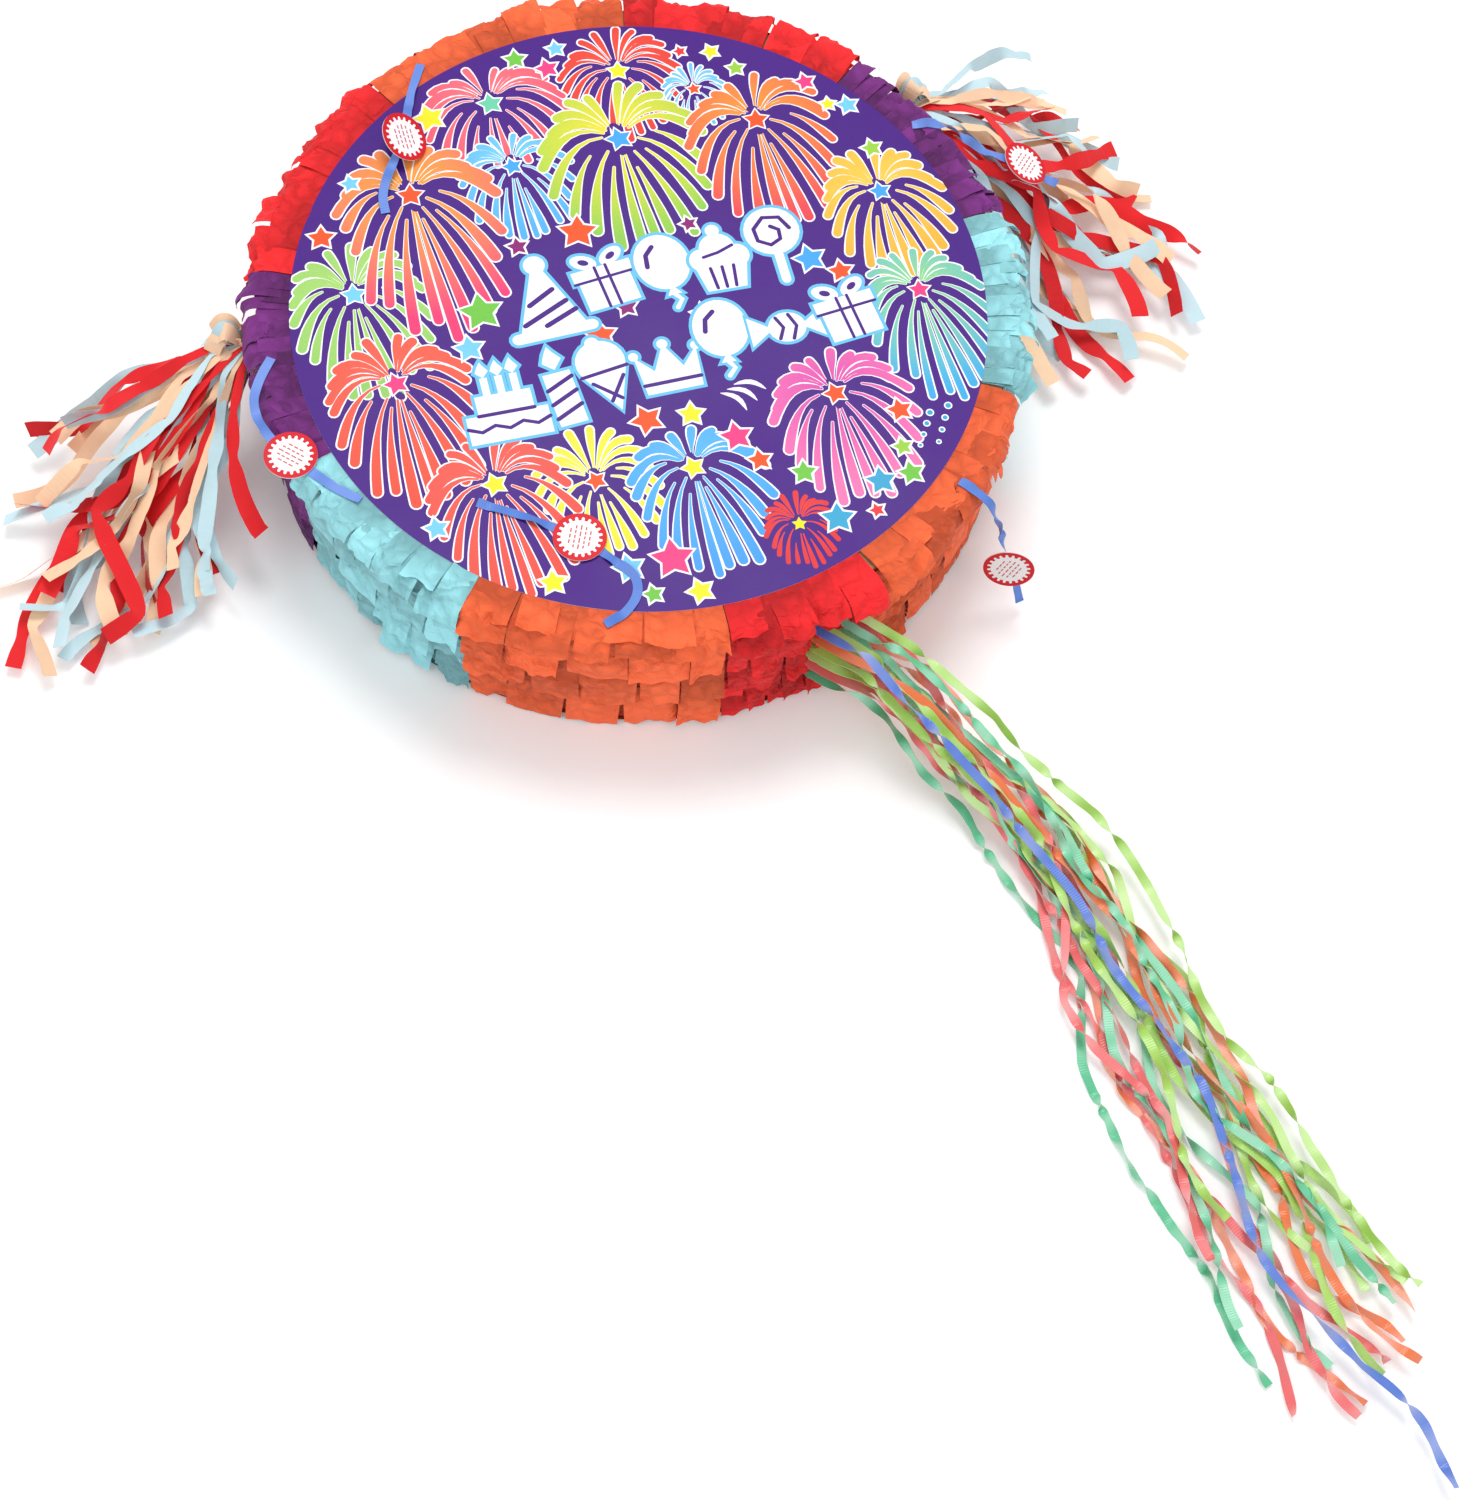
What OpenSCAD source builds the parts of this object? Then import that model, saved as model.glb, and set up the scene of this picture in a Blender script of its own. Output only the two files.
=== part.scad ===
// Round pull-string pinata, lying on its back.
// Millimetres. The origin is the centre of the back cover's outer face. +Z leaves the printed
// face, -Y points to the hatch and the pull ribbons, +X is to the right seen from the front.

/* [Drum] */
// Outer radius of the cardboard wall
drum_r = 200; // [150:1:260]
// Overall depth, back cover to printed face
depth = 98; // [70:1:130]
// Cardboard thickness
board_t = 3; // [2:0.5:5]
// Radius of the printed face
print_r = 188; // [140:1:245]
// Thickness of the printed face and of the back cover
card_t = 1; // [0.5:0.1:1.5]
// Radius of the back cover
cover_r = 196; // [140:1:250]

/* [Tissue] */
// Thickness of the layered tissue on the front and back borders
border_t = 1; // [0.5:0.1:2]
// Thickness of the layered tissue on the wall, under the flaps
skin_t = 1.4; // [0.8:0.1:3]
// How far the cut edge of a flap stands off the wall
flare = 4.2; // [2:0.1:8]
// Width of the border under the printed face and the cover
border_w = 21; // [12:1:40]
// Rows of flaps from the front edge to the back edge
flap_rows = 4; // [2:1:6]

/* [Hatch] */
// Half angle of the opening in the wall
hatch_half = 11; // [8:0.5:14]
// Height of the opening
hatch_h = 66; // [40:1:76]
// Cut line left round the flap
hatch_gap = 0.4; // [0.3:0.1:1]

/* [Hanging hole] */
// Radius of the hole in the top of the wall
hang_r = 3; // [2:0.5:6]
// Radius of the opening in the tissue over it
hang_clear_r = 6; // [4:0.5:12]
// Height of the hole's middle
hang_z = 50; // [20:0.5:80]

/* [Pull ribbons] */
// Width of the curling ribbon
ribbon_w = 5; // [3:0.5:10]
// Thickness of the curling ribbon
ribbon_t = 0.25; // [0.2:0.05:0.5]
// Spacing of the slits across the flap
slit_dx = 9; // [7:0.5:12]
// Spacing of the slit rows
slit_dz = 10; // [7:0.5:12]

/* [Tassels] */
// Angle of each tassel above the drum's side
tie_angle = 21; // [0:1:45]
// Height of the middle of the tie
tie_z = 67; // [40:1:80]
// Strips of each colour in a tassel
strips = 12; // [6:1:16]
// Width of a strip
strip_w = 9.5; // [6:0.5:16]
// Thickness of a strip
strip_t = 0.2; // [0.1:0.05:0.5]
// Longest strip
strip_len = 214; // [120:1:260]

/* [Tags] */
// Radius of a tag
tag_r = 14; // [8:0.5:25]
// Thickness of a tag
tag_t = 0.6; // [0.4:0.1:1.5]

/* [Hidden] */
$fn = 96;
// sub-part to draw; "all" draws the whole object

coral_c = [0.94, 0.36, 0.34];
orange_c = [0.95, 0.42, 0.20];
red_c = [0.86, 0.13, 0.13];
purple_c = [0.42, 0.16, 0.42];
sky_c = [0.62, 0.86, 0.89];
print_c = [0.36, 0.22, 0.58];
peach_c = [0.95, 0.80, 0.68];
pale_c = [0.76, 0.87, 0.91];
mint_c = [0.36, 0.74, 0.52];
lime_c = [0.64, 0.82, 0.34];
blue_c = [0.32, 0.50, 0.86];
card_c = [0.72, 0.60, 0.44];
white_c = [0.96, 0.95, 0.93];
tag_c = [0.82, 0.13, 0.15];

eps = 0.1;

// Heights of the layers, from the surface the drum lies on.
z_back_tissue = card_t;
z_back_board = card_t + border_t;
z_wall = z_back_board + board_t;
z_print = depth - card_t;
z_front_tissue = z_print - border_t;
z_front_board = z_front_tissue - board_t;
wall_in_r = drum_r - board_t;
border_in_r = drum_r - border_w;

// Where the colours of the tissue meet, in degrees from +X, on the right half.
edge_red_bottom = -78;
edge_orange = -39;
edge_sky = -6;
edge_purple = 29;
edge_red = 68;
// gap left between two panels, in degrees
seam = 0.06;

// The hatch opening and the line it hinges on.
hatch_z0 = (depth - hatch_h) / 2 + 1;
hatch_z1 = hatch_z0 + hatch_h;
flap_half = hatch_half - hatch_gap * 180 / (PI * drum_r) - 0.08;
// tissue is left off next to the hinge, so that the flap can open
hinge_clear = 2.3;

// Slits in the flap, counted from the lowest left one.
ribbons = 21;
slit_cols = 4;
slit_x0 = 6;
slit_z0 = 24;
// each slit in a row is a little higher than the one to its left
slit_step = 1.2;
slit_h = 1.2;
slit_w = ribbon_w + 1.2;
knot_r = 2.6;
function slit_x(i) = slit_x0 + slit_dx * (i % slit_cols);
function slit_z(i) = slit_z0 + slit_dz * floor(i / slit_cols) + slit_step * (i % slit_cols);

// Route of the bundle: distance from the drum's axis, then sideways position of its middle.
bundle_x = [[190, 20], [210, 22], [230, 37], [255, 45], [282, 54], [310, 66], [340, 74],
    [400, 77], [460, 75], [520, 74], [570, 75], [620, 78], [660, 81], [730, 90]];
// Height along the route, from 1 at the slit to 0 on the table.
bundle_fall = [[190, 1], [210, 1], [230, 0.95], [255, 0.79], [280, 0.57], [305, 0.35],
    [330, 0.18], [355, 0.07], [380, 0.02], [400, 0]];
// How much of the slit's sideways position is left along the route.
bundle_near = [[190, 1], [215, 1], [350, 0.4], [450, 0]];
// How much of the fan has opened along the route.
bundle_far = [[190, 0], [230, 0], [330, 0.35], [450, 0.6], [580, 0.8], [660, 1], [730, 1.15]];
// Lowest and next heights of the ribbons that lie on the table.
floor_z0 = 0.5;
floor_dz = 0.55;
// Fan offset, wave height, wave phase and the distance of the free end from the axis.
ribbon_plan = [
    [-30, 6, 0, 640], [12, 7, 90, 655], [40, 6, 200, 620], [-12, 9, 30, 668],
    [-24, 5, 150, 658], [58, 8, 260, 600], [5, 8, 310, 645], [30, 6, 60, 650],
    [22, 9, 120, 590], [-5, 7, 240, 672], [-20, 8, 10, 610], [50, 7, 180, 640],
    [16, 9, 300, 660], [54, 8, 70, 625], [46, 6, 220, 632], [-22, 7, 100, 575],
    [34, 8, 340, 662], [0, 9, 160, 560], [36, 9, 280, 605], [64, 6, 20, 630],
    [8, 8, 50, 722]];
wave_len = 150;
ribbon_rings = 38;

// Tassels: the strips fan out from the tie, from the first direction to the last.
tie_r = 211.5;
knot_half_h = 14;
tassel_knot_r = 5.5;
loop_in_r = 6;
loop_out_r = 7.2;
loop_h = 2;
// the loop's stem starts on the outside of the tissue
stem_start = 2.4;
stem_w = 3;
fan_right = [16, -70];
fan_left = [18, -56];
fan_droop = -14;
// Share of the longest strip, from the first strip of the fan to the last.
reach_right = [[0, 0.45], [0.3, 0.6], [0.55, 0.85], [0.8, 0.88], [1, 0.7]];
reach_left = [[0, 0.56], [0.15, 0.7], [0.35, 0.9], [0.55, 0.92], [0.75, 0.72], [1, 0.48]];
reach_wave = 0.08;
strip_start = 8;
strip_rings = 12;
colours_in_tassel = 3;
all_strips = strips * colours_in_tassel;
// a step with no common factor with the number of strips shuffles their layers
layer_step = 7;
strip_top_z0 = 54;
strip_top_dz = 0.7;
strip_floor_z0 = 0.5;
strip_floor_dz = 0.55;
// Height along a strip, by distance from the tie.
strip_fall = [[0, 1], [20, 0.99], [40, 0.88], [60, 0.7], [80, 0.5], [100, 0.31], [120, 0.16],
    [140, 0.06], [160, 0]];
strip_widen = [[0, 0.3], [20, 0.45], [60, 0.85], [90, 1]];

// Routes of the tag ribbons, and how far three of the tags are rolled about theirs.
over_print = depth + 0.4;
tag_route_1 = [[-46, 194, over_print], [-60, 175, 99.5], [-77, 146, 105], [-98, 122, 101],
    [-103, 108, over_print]];
tag_route_2 = [[-194, 46, over_print], [-206, 34, over_print], [-213, 22, over_print],
    [-214, 6, over_print], [-207, -14, over_print], [-195, -38, over_print],
    [-184, -53, over_print]];
tag_route_3 = [[-99, -170, over_print], [-87, -168, over_print], [-77, -161, over_print],
    [-74, -151, over_print], [-80, -137, over_print], [-90, -119, over_print],
    [-112, -95, over_print], [-130, -79, over_print]];
tag_route_4 = [[107, -168, over_print], [112, -177, 97.8], [117, -184, 93], [122, -187, 78],
    [126, -189, 62], [130, -191, 48], [133, -195, 35], [136, -201, 21], [137, -208, 9]];
tag_route_5 = [[190, 48, over_print], [203, 43, 97.9], [213, 39, 91], [227, 31, 78],
    [240, 25, 71], [252, 19, 65], [268, 5, 54.5]];
tag_rise = 0.25;
tag_roll_1 = -35;
tag_roll_4 = 63;
tag_roll_5 = -8;

// ---------------------------------------------------------------- shapes used more than once

function lerp(a, b, t) = a + (b - a) * t;
function polar(r, a) = [r * cos(a), r * sin(a)];
function unit(v) = v / norm(v);
// Direction of the points p at point i.
function dir(p, i) = unit(p[min(i + 1, len(p) - 1)] - p[max(i - 1, 0)]);

// A flat strip along the points p. w holds the width at each point.
module strip(p, w, t) {
    n = len(p);
    pts = [for (i = [0 : n - 1])
        let (d = dir(p, i), side = unit([-d[1], d[0], 0]), s = side * w[i] / 2,
            h = cross(d, side) * t / 2)
        each [p[i] + s - h, p[i] - s - h, p[i] - s + h, p[i] + s + h]];
    sides = [for (i = [0 : n - 2], k = [0 : 3])
        let (a = 4 * i + k, b = 4 * i + (k + 1) % 4)
        each [[a, b, b + 4], [a, b + 4, a + 4]]];
    e = 4 * (n - 1);
    polyhedron(points = pts,
        faces = concat(sides, [[0, 3, 2], [0, 2, 1], [e, e + 1, e + 2], [e, e + 2, e + 3]]));
}

// A sector of a ring between the angles a0 and a1.
module ring_sector(r0, r1, z0, z1, a0, a1)
    rotate([0, 0, a0])
        rotate_extrude(angle = a1 - a0)
            translate([r0, z0]) square([r1 - r0, z1 - z0]);

// Outline of the tissue from the front border, down the wall in flap rows, to the back border.
function flap_profile() =
    let (row = (z_print - z_back_tissue) / flap_rows)
    [for (i = [0 : flap_rows - 1])
        each [
            [drum_r + (i == 0 ? 2.2 : skin_t), z_print - row * i],
            [drum_r + flare - (i == flap_rows - 1 ? 1.4 : 0), z_print - row * (i + 1)]]];

module tissue_outline()
    polygon(concat(
        [[border_in_r, z_print]],
        flap_profile(),
        [[border_in_r, z_back_tissue], [border_in_r, z_back_board], [drum_r, z_back_board],
         [drum_r, z_front_tissue], [border_in_r, z_front_tissue]]));

module tissue_panel(a0, a1)
    rotate([0, 0, a0 + seam])
        rotate_extrude(angle = a1 - a0 - 2 * seam)
            tissue_outline();

// ---------------------------------------------------------------- drum

module back_cover() color(white_c)
    cylinder(r = cover_r, h = card_t, $fn = 180);

module back_board() color(card_c)
    translate([0, 0, z_back_board]) cylinder(r = drum_r, h = board_t, $fn = 180);

module front_board() color(card_c)
    translate([0, 0, z_front_board]) cylinder(r = drum_r, h = board_t, $fn = 180);

module side_wall() color(card_c)
    difference() {
        translate([0, 0, z_wall])
            difference() {
                cylinder(r = drum_r, h = z_front_board - z_wall, $fn = 180);
                translate([0, 0, -1])
                    cylinder(r = wall_in_r, h = z_front_board - z_wall + 2, $fn = 180);
            }
        ring_sector(wall_in_r - 2, drum_r + 2, hatch_z0, hatch_z1,
            -90 - hatch_half, -90 + hatch_half);
        translate([0, wall_in_r - 5, hang_z])
            rotate([-90, 0, 0]) cylinder(r = hang_r, h = board_t + 10, $fn = 64);
    }

module printed_face() color(print_c)
    translate([0, 0, z_print]) cylinder(r = print_r, h = card_t, $fn = 180);

// ---------------------------------------------------------------- tissue

module tissue_red_bottom() color(red_c)
    difference() {
        tissue_panel(-180 - edge_red_bottom, edge_red_bottom);
        ring_sector(drum_r - 1, drum_r + flare + 2, hatch_z0, hatch_z1,
            -90 - hatch_half, -90 + hatch_half);
    }

module tissue_orange_right() color(orange_c) tissue_panel(edge_red_bottom, edge_orange);
module tissue_sky_right() color(sky_c) tissue_panel(edge_orange, edge_sky);
module tissue_purple_right() color(purple_c) tissue_panel(edge_sky, edge_purple);
module tissue_red_right() color(red_c) tissue_panel(edge_purple, edge_red);

module tissue_orange_top() color(orange_c)
    difference() {
        tissue_panel(edge_red, 180 - edge_red);
        translate([0, drum_r - 1, hang_z])
            rotate([-90, 0, 0]) cylinder(r = hang_clear_r, h = flare + 10, $fn = 64);
    }

module tissue_red_left() color(red_c) tissue_panel(180 - edge_red, 180 - edge_purple);
module tissue_purple_left() color(purple_c) tissue_panel(180 - edge_purple, 180 - edge_sky);
module tissue_sky_left() color(sky_c) tissue_panel(180 - edge_sky, 180 - edge_orange);
module tissue_orange_left() color(orange_c)
    tissue_panel(180 - edge_orange, 180 - edge_red_bottom);

// ---------------------------------------------------------------- hatch

module slits()
    for (i = [0 : ribbons - 1])
        translate([slit_x(i) - slit_w / 2, -drum_r - flare - 5, slit_z(i) - slit_h / 2])
            cube([slit_w, board_t + flare + 20, slit_h]);

module hatch_flap() color(card_c)
    difference() {
        ring_sector(wall_in_r, drum_r, hatch_z0 + hatch_gap, hatch_z1 - hatch_gap,
            -90 - flap_half, -90 + flap_half);
        slits();
    }

module hatch_tissue() color(red_c)
    difference() {
        rotate([0, 0, -90 - hatch_half + hinge_clear])
            rotate_extrude(angle = hatch_half + flap_half - hinge_clear)
                intersection() {
                    tissue_outline();
                    translate([drum_r, hatch_z0 + hatch_gap])
                        square([flare + 5, hatch_h - 2 * hatch_gap]);
                }
        slits();
    }

// Each ribbon ends in a knot on the inside of the flap.
module hatch_knots() color(mint_c)
    for (i = [0 : ribbons - 1])
        translate([slit_x(i), -sqrt(pow(wall_in_r, 2) - pow(slit_x(i), 2)) + knot_r + 0.5,
            slit_z(i)])
            sphere(r = knot_r, $fn = 20);

function ribbon_x(i, d) =
    lookup(d, bundle_x)
    + (slit_x(i) - slit_x0 - slit_dx * 1.5) * lookup(d, bundle_near)
    + ribbon_plan[i][0] * lookup(d, bundle_far)
    + ribbon_plan[i][1] * lookup(d, bundle_far)
        * (sin(360 * (d - drum_r) / wave_len + ribbon_plan[i][2]));

function ribbon_z(i, d) =
    lerp(floor_z0 + floor_dz * i, slit_z(i), lookup(d, bundle_fall));

module pull_ribbon(i) {
    d0 = sqrt(pow(wall_in_r, 2) - pow(slit_x(i), 2)) + eps;
    d1 = ribbon_plan[i][3];
    ds = concat([d0, drum_r + flare + 2],
        [for (k = [1 : ribbon_rings]) lerp(drum_r + flare + 2, d1, k / ribbon_rings)]);
    p = [for (d = ds) [d < drum_r + flare + 3 ? slit_x(i) : ribbon_x(i, d), -d, ribbon_z(i, d)]];
    strip(p, [for (d = ds) ribbon_w], ribbon_t);
}

// ---------------------------------------------------------------- tassels

module at_tie() translate(polar(tie_r, tie_angle)) children();

module tassel_loop()
    difference() {
        union() {
            at_tie() translate([0, 0, tie_z - loop_h / 2]) cylinder(r = loop_out_r, h = loop_h);
            rotate([0, 0, tie_angle])
                translate([drum_r + stem_start, -stem_w / 2, tie_z - loop_h / 2])
                    cube([tie_r - loop_in_r - drum_r - stem_start, stem_w, loop_h]);
        }
        at_tie() translate([0, 0, tie_z - loop_h]) cylinder(r = loop_in_r, h = 2 * loop_h);
    }

module tassel_knot()
    at_tie() translate([0, 0, tie_z - knot_half_h])
        cylinder(r = tassel_knot_r, h = 2 * knot_half_h);

function strip_layer(j) = (j * layer_step) % all_strips;
function strip_length(j, reach) =
    strip_len * (lookup(j / (all_strips - 1), reach) + reach_wave * sin(67 * j));
function strip_dir(j, s, fan) =
    lerp(fan[0], fan[1], j / (all_strips - 1)) + fan_droop * pow(s / strip_len, 2)
    + 3 * sin(2.4 * s + 50 * j) * min(s / 100, 1);
function strip_z(j, s) =
    lerp(strip_floor_z0 + strip_floor_dz * strip_layer(j),
         strip_top_z0 + strip_top_dz * strip_layer(j), lookup(s, strip_fall));

// Every third strip, starting from the given one.
module tassel_strips(first, fan, reach)
    for (m = [0 : strips - 1]) {
        j = first + colours_in_tassel * m;
        end = strip_length(j, reach);
        ss = [for (k = [0 : strip_rings]) lerp(strip_start, end, k / strip_rings)];
        p = [for (s = ss)
            let (q = polar(tie_r, tie_angle) + polar(s, strip_dir(j, s, fan)))
            [q[0], q[1], strip_z(j, s)]];
        strip(p, [for (s = ss) strip_w * lookup(s, strip_widen)], strip_t);
    }

module tassel_loop_right() color(white_c) tassel_loop();
module tassel_knot_right() color(peach_c) tassel_knot();
module tassel_red_right() color(red_c) tassel_strips(0, fan_right, reach_right);
module tassel_peach_right() color(peach_c) tassel_strips(1, fan_right, reach_right);
module tassel_pale_right() color(pale_c) tassel_strips(2, fan_right, reach_right);

module tassel_loop_left() color(white_c) mirror([1, 0, 0]) tassel_loop();
module tassel_knot_left() color(peach_c) mirror([1, 0, 0]) tassel_knot();
module tassel_red_left()
    color(red_c) mirror([1, 0, 0]) tassel_strips(2, fan_left, reach_left);
module tassel_peach_left()
    color(peach_c) mirror([1, 0, 0]) tassel_strips(0, fan_left, reach_left);
module tassel_pale_left()
    color(pale_c) mirror([1, 0, 0]) tassel_strips(1, fan_left, reach_left);

// ---------------------------------------------------------------- tags

// Points between those of a route, so that the ribbon bends smoothly.
function smooth(p) =
    [for (i = [0 : len(p) - 2], k = [0 : 2])
        let (a = p[max(i - 1, 0)], b = p[i], c = p[i + 1], d = p[min(i + 2, len(p) - 1)],
            t = k / 3)
        0.5 * (2 * b + (c - a) * t + (2 * a - 5 * b + 4 * c - d) * t * t
            + (3 * b - a - 3 * c + d) * t * t * t)];
function route(p) = concat(smooth(p), [p[len(p) - 1]]);

module tag_ribbon(p)
    strip(route(p), [for (q = route(p)) ribbon_w], ribbon_t);

// A round tag on the upper side of its ribbon, at point i of the route, rolled about it.
module tag_disc(p, i, roll = 0) {
    d = p[i + 1] - p[i - 1];
    lift = ribbon_t / 2 + tag_rise + 5 * abs(d[2]) / norm(d) * tag_rise
        + ribbon_w / 2 * abs(sin(roll));
    translate(p[i])
        rotate([0, 0, atan2(d[1], d[0])])
            rotate([0, -atan2(d[2], norm([d[0], d[1]])), 0])
                rotate([roll, 0, 0])
                    translate([0, 0, lift]) cylinder(r = tag_r, h = tag_t, $fn = 72);
}

module tag_ribbon_1() color(blue_c) tag_ribbon(tag_route_1);
module tag_1() color(tag_c) tag_disc(tag_route_1, 2, tag_roll_1);
module tag_ribbon_2() color(blue_c) tag_ribbon(tag_route_2);
module tag_2() color(tag_c) tag_disc(tag_route_2, 4);
module tag_ribbon_3() color(blue_c) tag_ribbon(tag_route_3);
module tag_3() color(tag_c) tag_disc(tag_route_3, 5);
module tag_ribbon_4() color(blue_c) tag_ribbon(tag_route_4);
module tag_4() color(tag_c) tag_disc(tag_route_4, 6, tag_roll_4);
module tag_ribbon_5() color(blue_c) tag_ribbon(tag_route_5);
module tag_5() color(tag_c) tag_disc(tag_route_5, 5, tag_roll_5);

// ---------------------------------------------------------------- pull ribbons

module pull_ribbon_01() color(mint_c) pull_ribbon(0);
module pull_ribbon_02() color(coral_c) pull_ribbon(1);
module pull_ribbon_03() color(lime_c) pull_ribbon(2);
module pull_ribbon_04() color(orange_c) pull_ribbon(3);
module pull_ribbon_05() color(coral_c) pull_ribbon(4);
module pull_ribbon_06() color(lime_c) pull_ribbon(5);
module pull_ribbon_07() color(mint_c) pull_ribbon(6);
module pull_ribbon_08() color(orange_c) pull_ribbon(7);
module pull_ribbon_09() color(lime_c) pull_ribbon(8);
module pull_ribbon_10() color(coral_c) pull_ribbon(9);
module pull_ribbon_11() color(mint_c) pull_ribbon(10);
module pull_ribbon_12() color(orange_c) pull_ribbon(11);
module pull_ribbon_13() color(lime_c) pull_ribbon(12);
module pull_ribbon_14() color(lime_c) pull_ribbon(13);
module pull_ribbon_15() color(mint_c) pull_ribbon(14);
module pull_ribbon_16() color(coral_c) pull_ribbon(15);
module pull_ribbon_17() color(orange_c) pull_ribbon(16);
module pull_ribbon_18() color(lime_c) pull_ribbon(17);
module pull_ribbon_19() color(mint_c) pull_ribbon(18);
module pull_ribbon_20() color(lime_c) pull_ribbon(19);
module pull_ribbon_21() color(blue_c) pull_ribbon(20);

// ---------------------------------------------------------------- drawing

back_cover();
back_board();
side_wall();
front_board();
printed_face();
tissue_red_bottom();
tissue_orange_right();
tissue_sky_right();
tissue_purple_right();
tissue_red_right();
tissue_orange_top();
tissue_red_left();
tissue_purple_left();
tissue_sky_left();
tissue_orange_left();
hatch_flap();
hatch_tissue();
hatch_knots();
tassel_loop_right();
tassel_knot_right();
tassel_red_right();
tassel_peach_right();
tassel_pale_right();
tassel_loop_left();
tassel_knot_left();
tassel_red_left();
tassel_peach_left();
tassel_pale_left();
tag_ribbon_1();
tag_1();
tag_ribbon_2();
tag_2();
tag_ribbon_3();
tag_3();
tag_ribbon_4();
tag_4();
tag_ribbon_5();
tag_5();
pull_ribbon_01();
pull_ribbon_02();
pull_ribbon_03();
pull_ribbon_04();
pull_ribbon_05();
pull_ribbon_06();
pull_ribbon_07();
pull_ribbon_08();
pull_ribbon_09();
pull_ribbon_10();
pull_ribbon_11();
pull_ribbon_12();
pull_ribbon_13();
pull_ribbon_14();
pull_ribbon_15();
pull_ribbon_16();
pull_ribbon_17();
pull_ribbon_18();
pull_ribbon_19();
pull_ribbon_20();
pull_ribbon_21();
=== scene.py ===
import math

import bpy
import numpy as np
from mathutils import Matrix, Vector
from mathutils.geometry import delaunay_2d_cdt


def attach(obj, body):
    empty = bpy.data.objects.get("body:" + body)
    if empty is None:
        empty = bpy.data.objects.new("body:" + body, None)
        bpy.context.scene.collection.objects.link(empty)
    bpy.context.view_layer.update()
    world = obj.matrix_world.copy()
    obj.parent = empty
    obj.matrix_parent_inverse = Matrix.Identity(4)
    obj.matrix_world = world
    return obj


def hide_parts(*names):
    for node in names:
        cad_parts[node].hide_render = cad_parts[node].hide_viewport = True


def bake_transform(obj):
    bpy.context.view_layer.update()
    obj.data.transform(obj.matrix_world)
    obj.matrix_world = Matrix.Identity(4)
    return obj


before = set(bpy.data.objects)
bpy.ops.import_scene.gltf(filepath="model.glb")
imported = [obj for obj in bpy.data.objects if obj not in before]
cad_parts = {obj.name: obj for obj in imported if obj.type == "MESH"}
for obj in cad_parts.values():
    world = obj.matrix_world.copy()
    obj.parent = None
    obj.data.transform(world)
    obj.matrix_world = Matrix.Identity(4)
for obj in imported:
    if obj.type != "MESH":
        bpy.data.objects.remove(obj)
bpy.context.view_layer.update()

# Lengths are in millimetres here, as in the part's source, and turn into metres in mesh_object.
MM = 0.001
SHARP = math.radians(50)
rng = np.random.default_rng(20)

# ---- camera

# Where the camera is and what it looks at, in metres, and the way to its right before it rolls.
CAMERA_AT = Vector((-0.3906, -0.7540, 1.3373))
CAMERA_TO = Vector((-0.0445, -0.2210, 0.0))
CAMERA_RIGHT = Vector((math.cos(math.radians(-33)), math.sin(math.radians(-33)), 0))
CAMERA_ROLL = math.radians(8.04)
LENS_MM = 44.0
SENSOR_MM = 24.0


def add_camera():
    data = bpy.data.cameras.new("camera")
    data.sensor_fit = "VERTICAL"
    data.sensor_height = SENSOR_MM
    data.lens = LENS_MM
    camera = bpy.data.objects.new("camera", data)
    bpy.context.scene.collection.objects.link(camera)
    ahead = (CAMERA_TO - CAMERA_AT).normalized()
    up = CAMERA_RIGHT.cross(ahead)
    right = math.cos(CAMERA_ROLL) * CAMERA_RIGHT + math.sin(CAMERA_ROLL) * up
    up = right.cross(ahead)
    turn = Matrix((right, up, -ahead)).transposed().to_4x4()
    camera.matrix_world = Matrix.Translation(CAMERA_AT) @ turn
    bpy.context.scene.camera = camera


add_camera()

# ---- colours and materials

PRINT_PURPLE = (74, 32, 131)
WHITE = (250, 249, 250)
CYAN = (110, 196, 236)
TAG_RED = (214, 34, 44)
CREPE_COLOURS = {"red": (226, 32, 38), "peach": (250, 208, 172), "pale": (194, 222, 230)}
RIBBON_COLOURS = {"mint": (92, 206, 154), "lime": (174, 226, 92), "coral": (248, 104, 106),
                  "orange": (250, 122, 58), "blue": (88, 128, 222)}


def linear(rgb):
    """Linear colour, 0 to 1, from sRGB, 0 to 255."""
    c = np.asarray(rgb, float) / 255
    return tuple(np.where(c <= 0.04045, c / 12.92, ((c + 0.055) / 1.055) ** 2.4))


def shades(rgb, dark, light):
    """A darker and a lighter version of a colour."""
    c = np.array(linear(rgb))
    return tuple(c * dark), tuple(np.minimum(c * light, 1))


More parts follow.
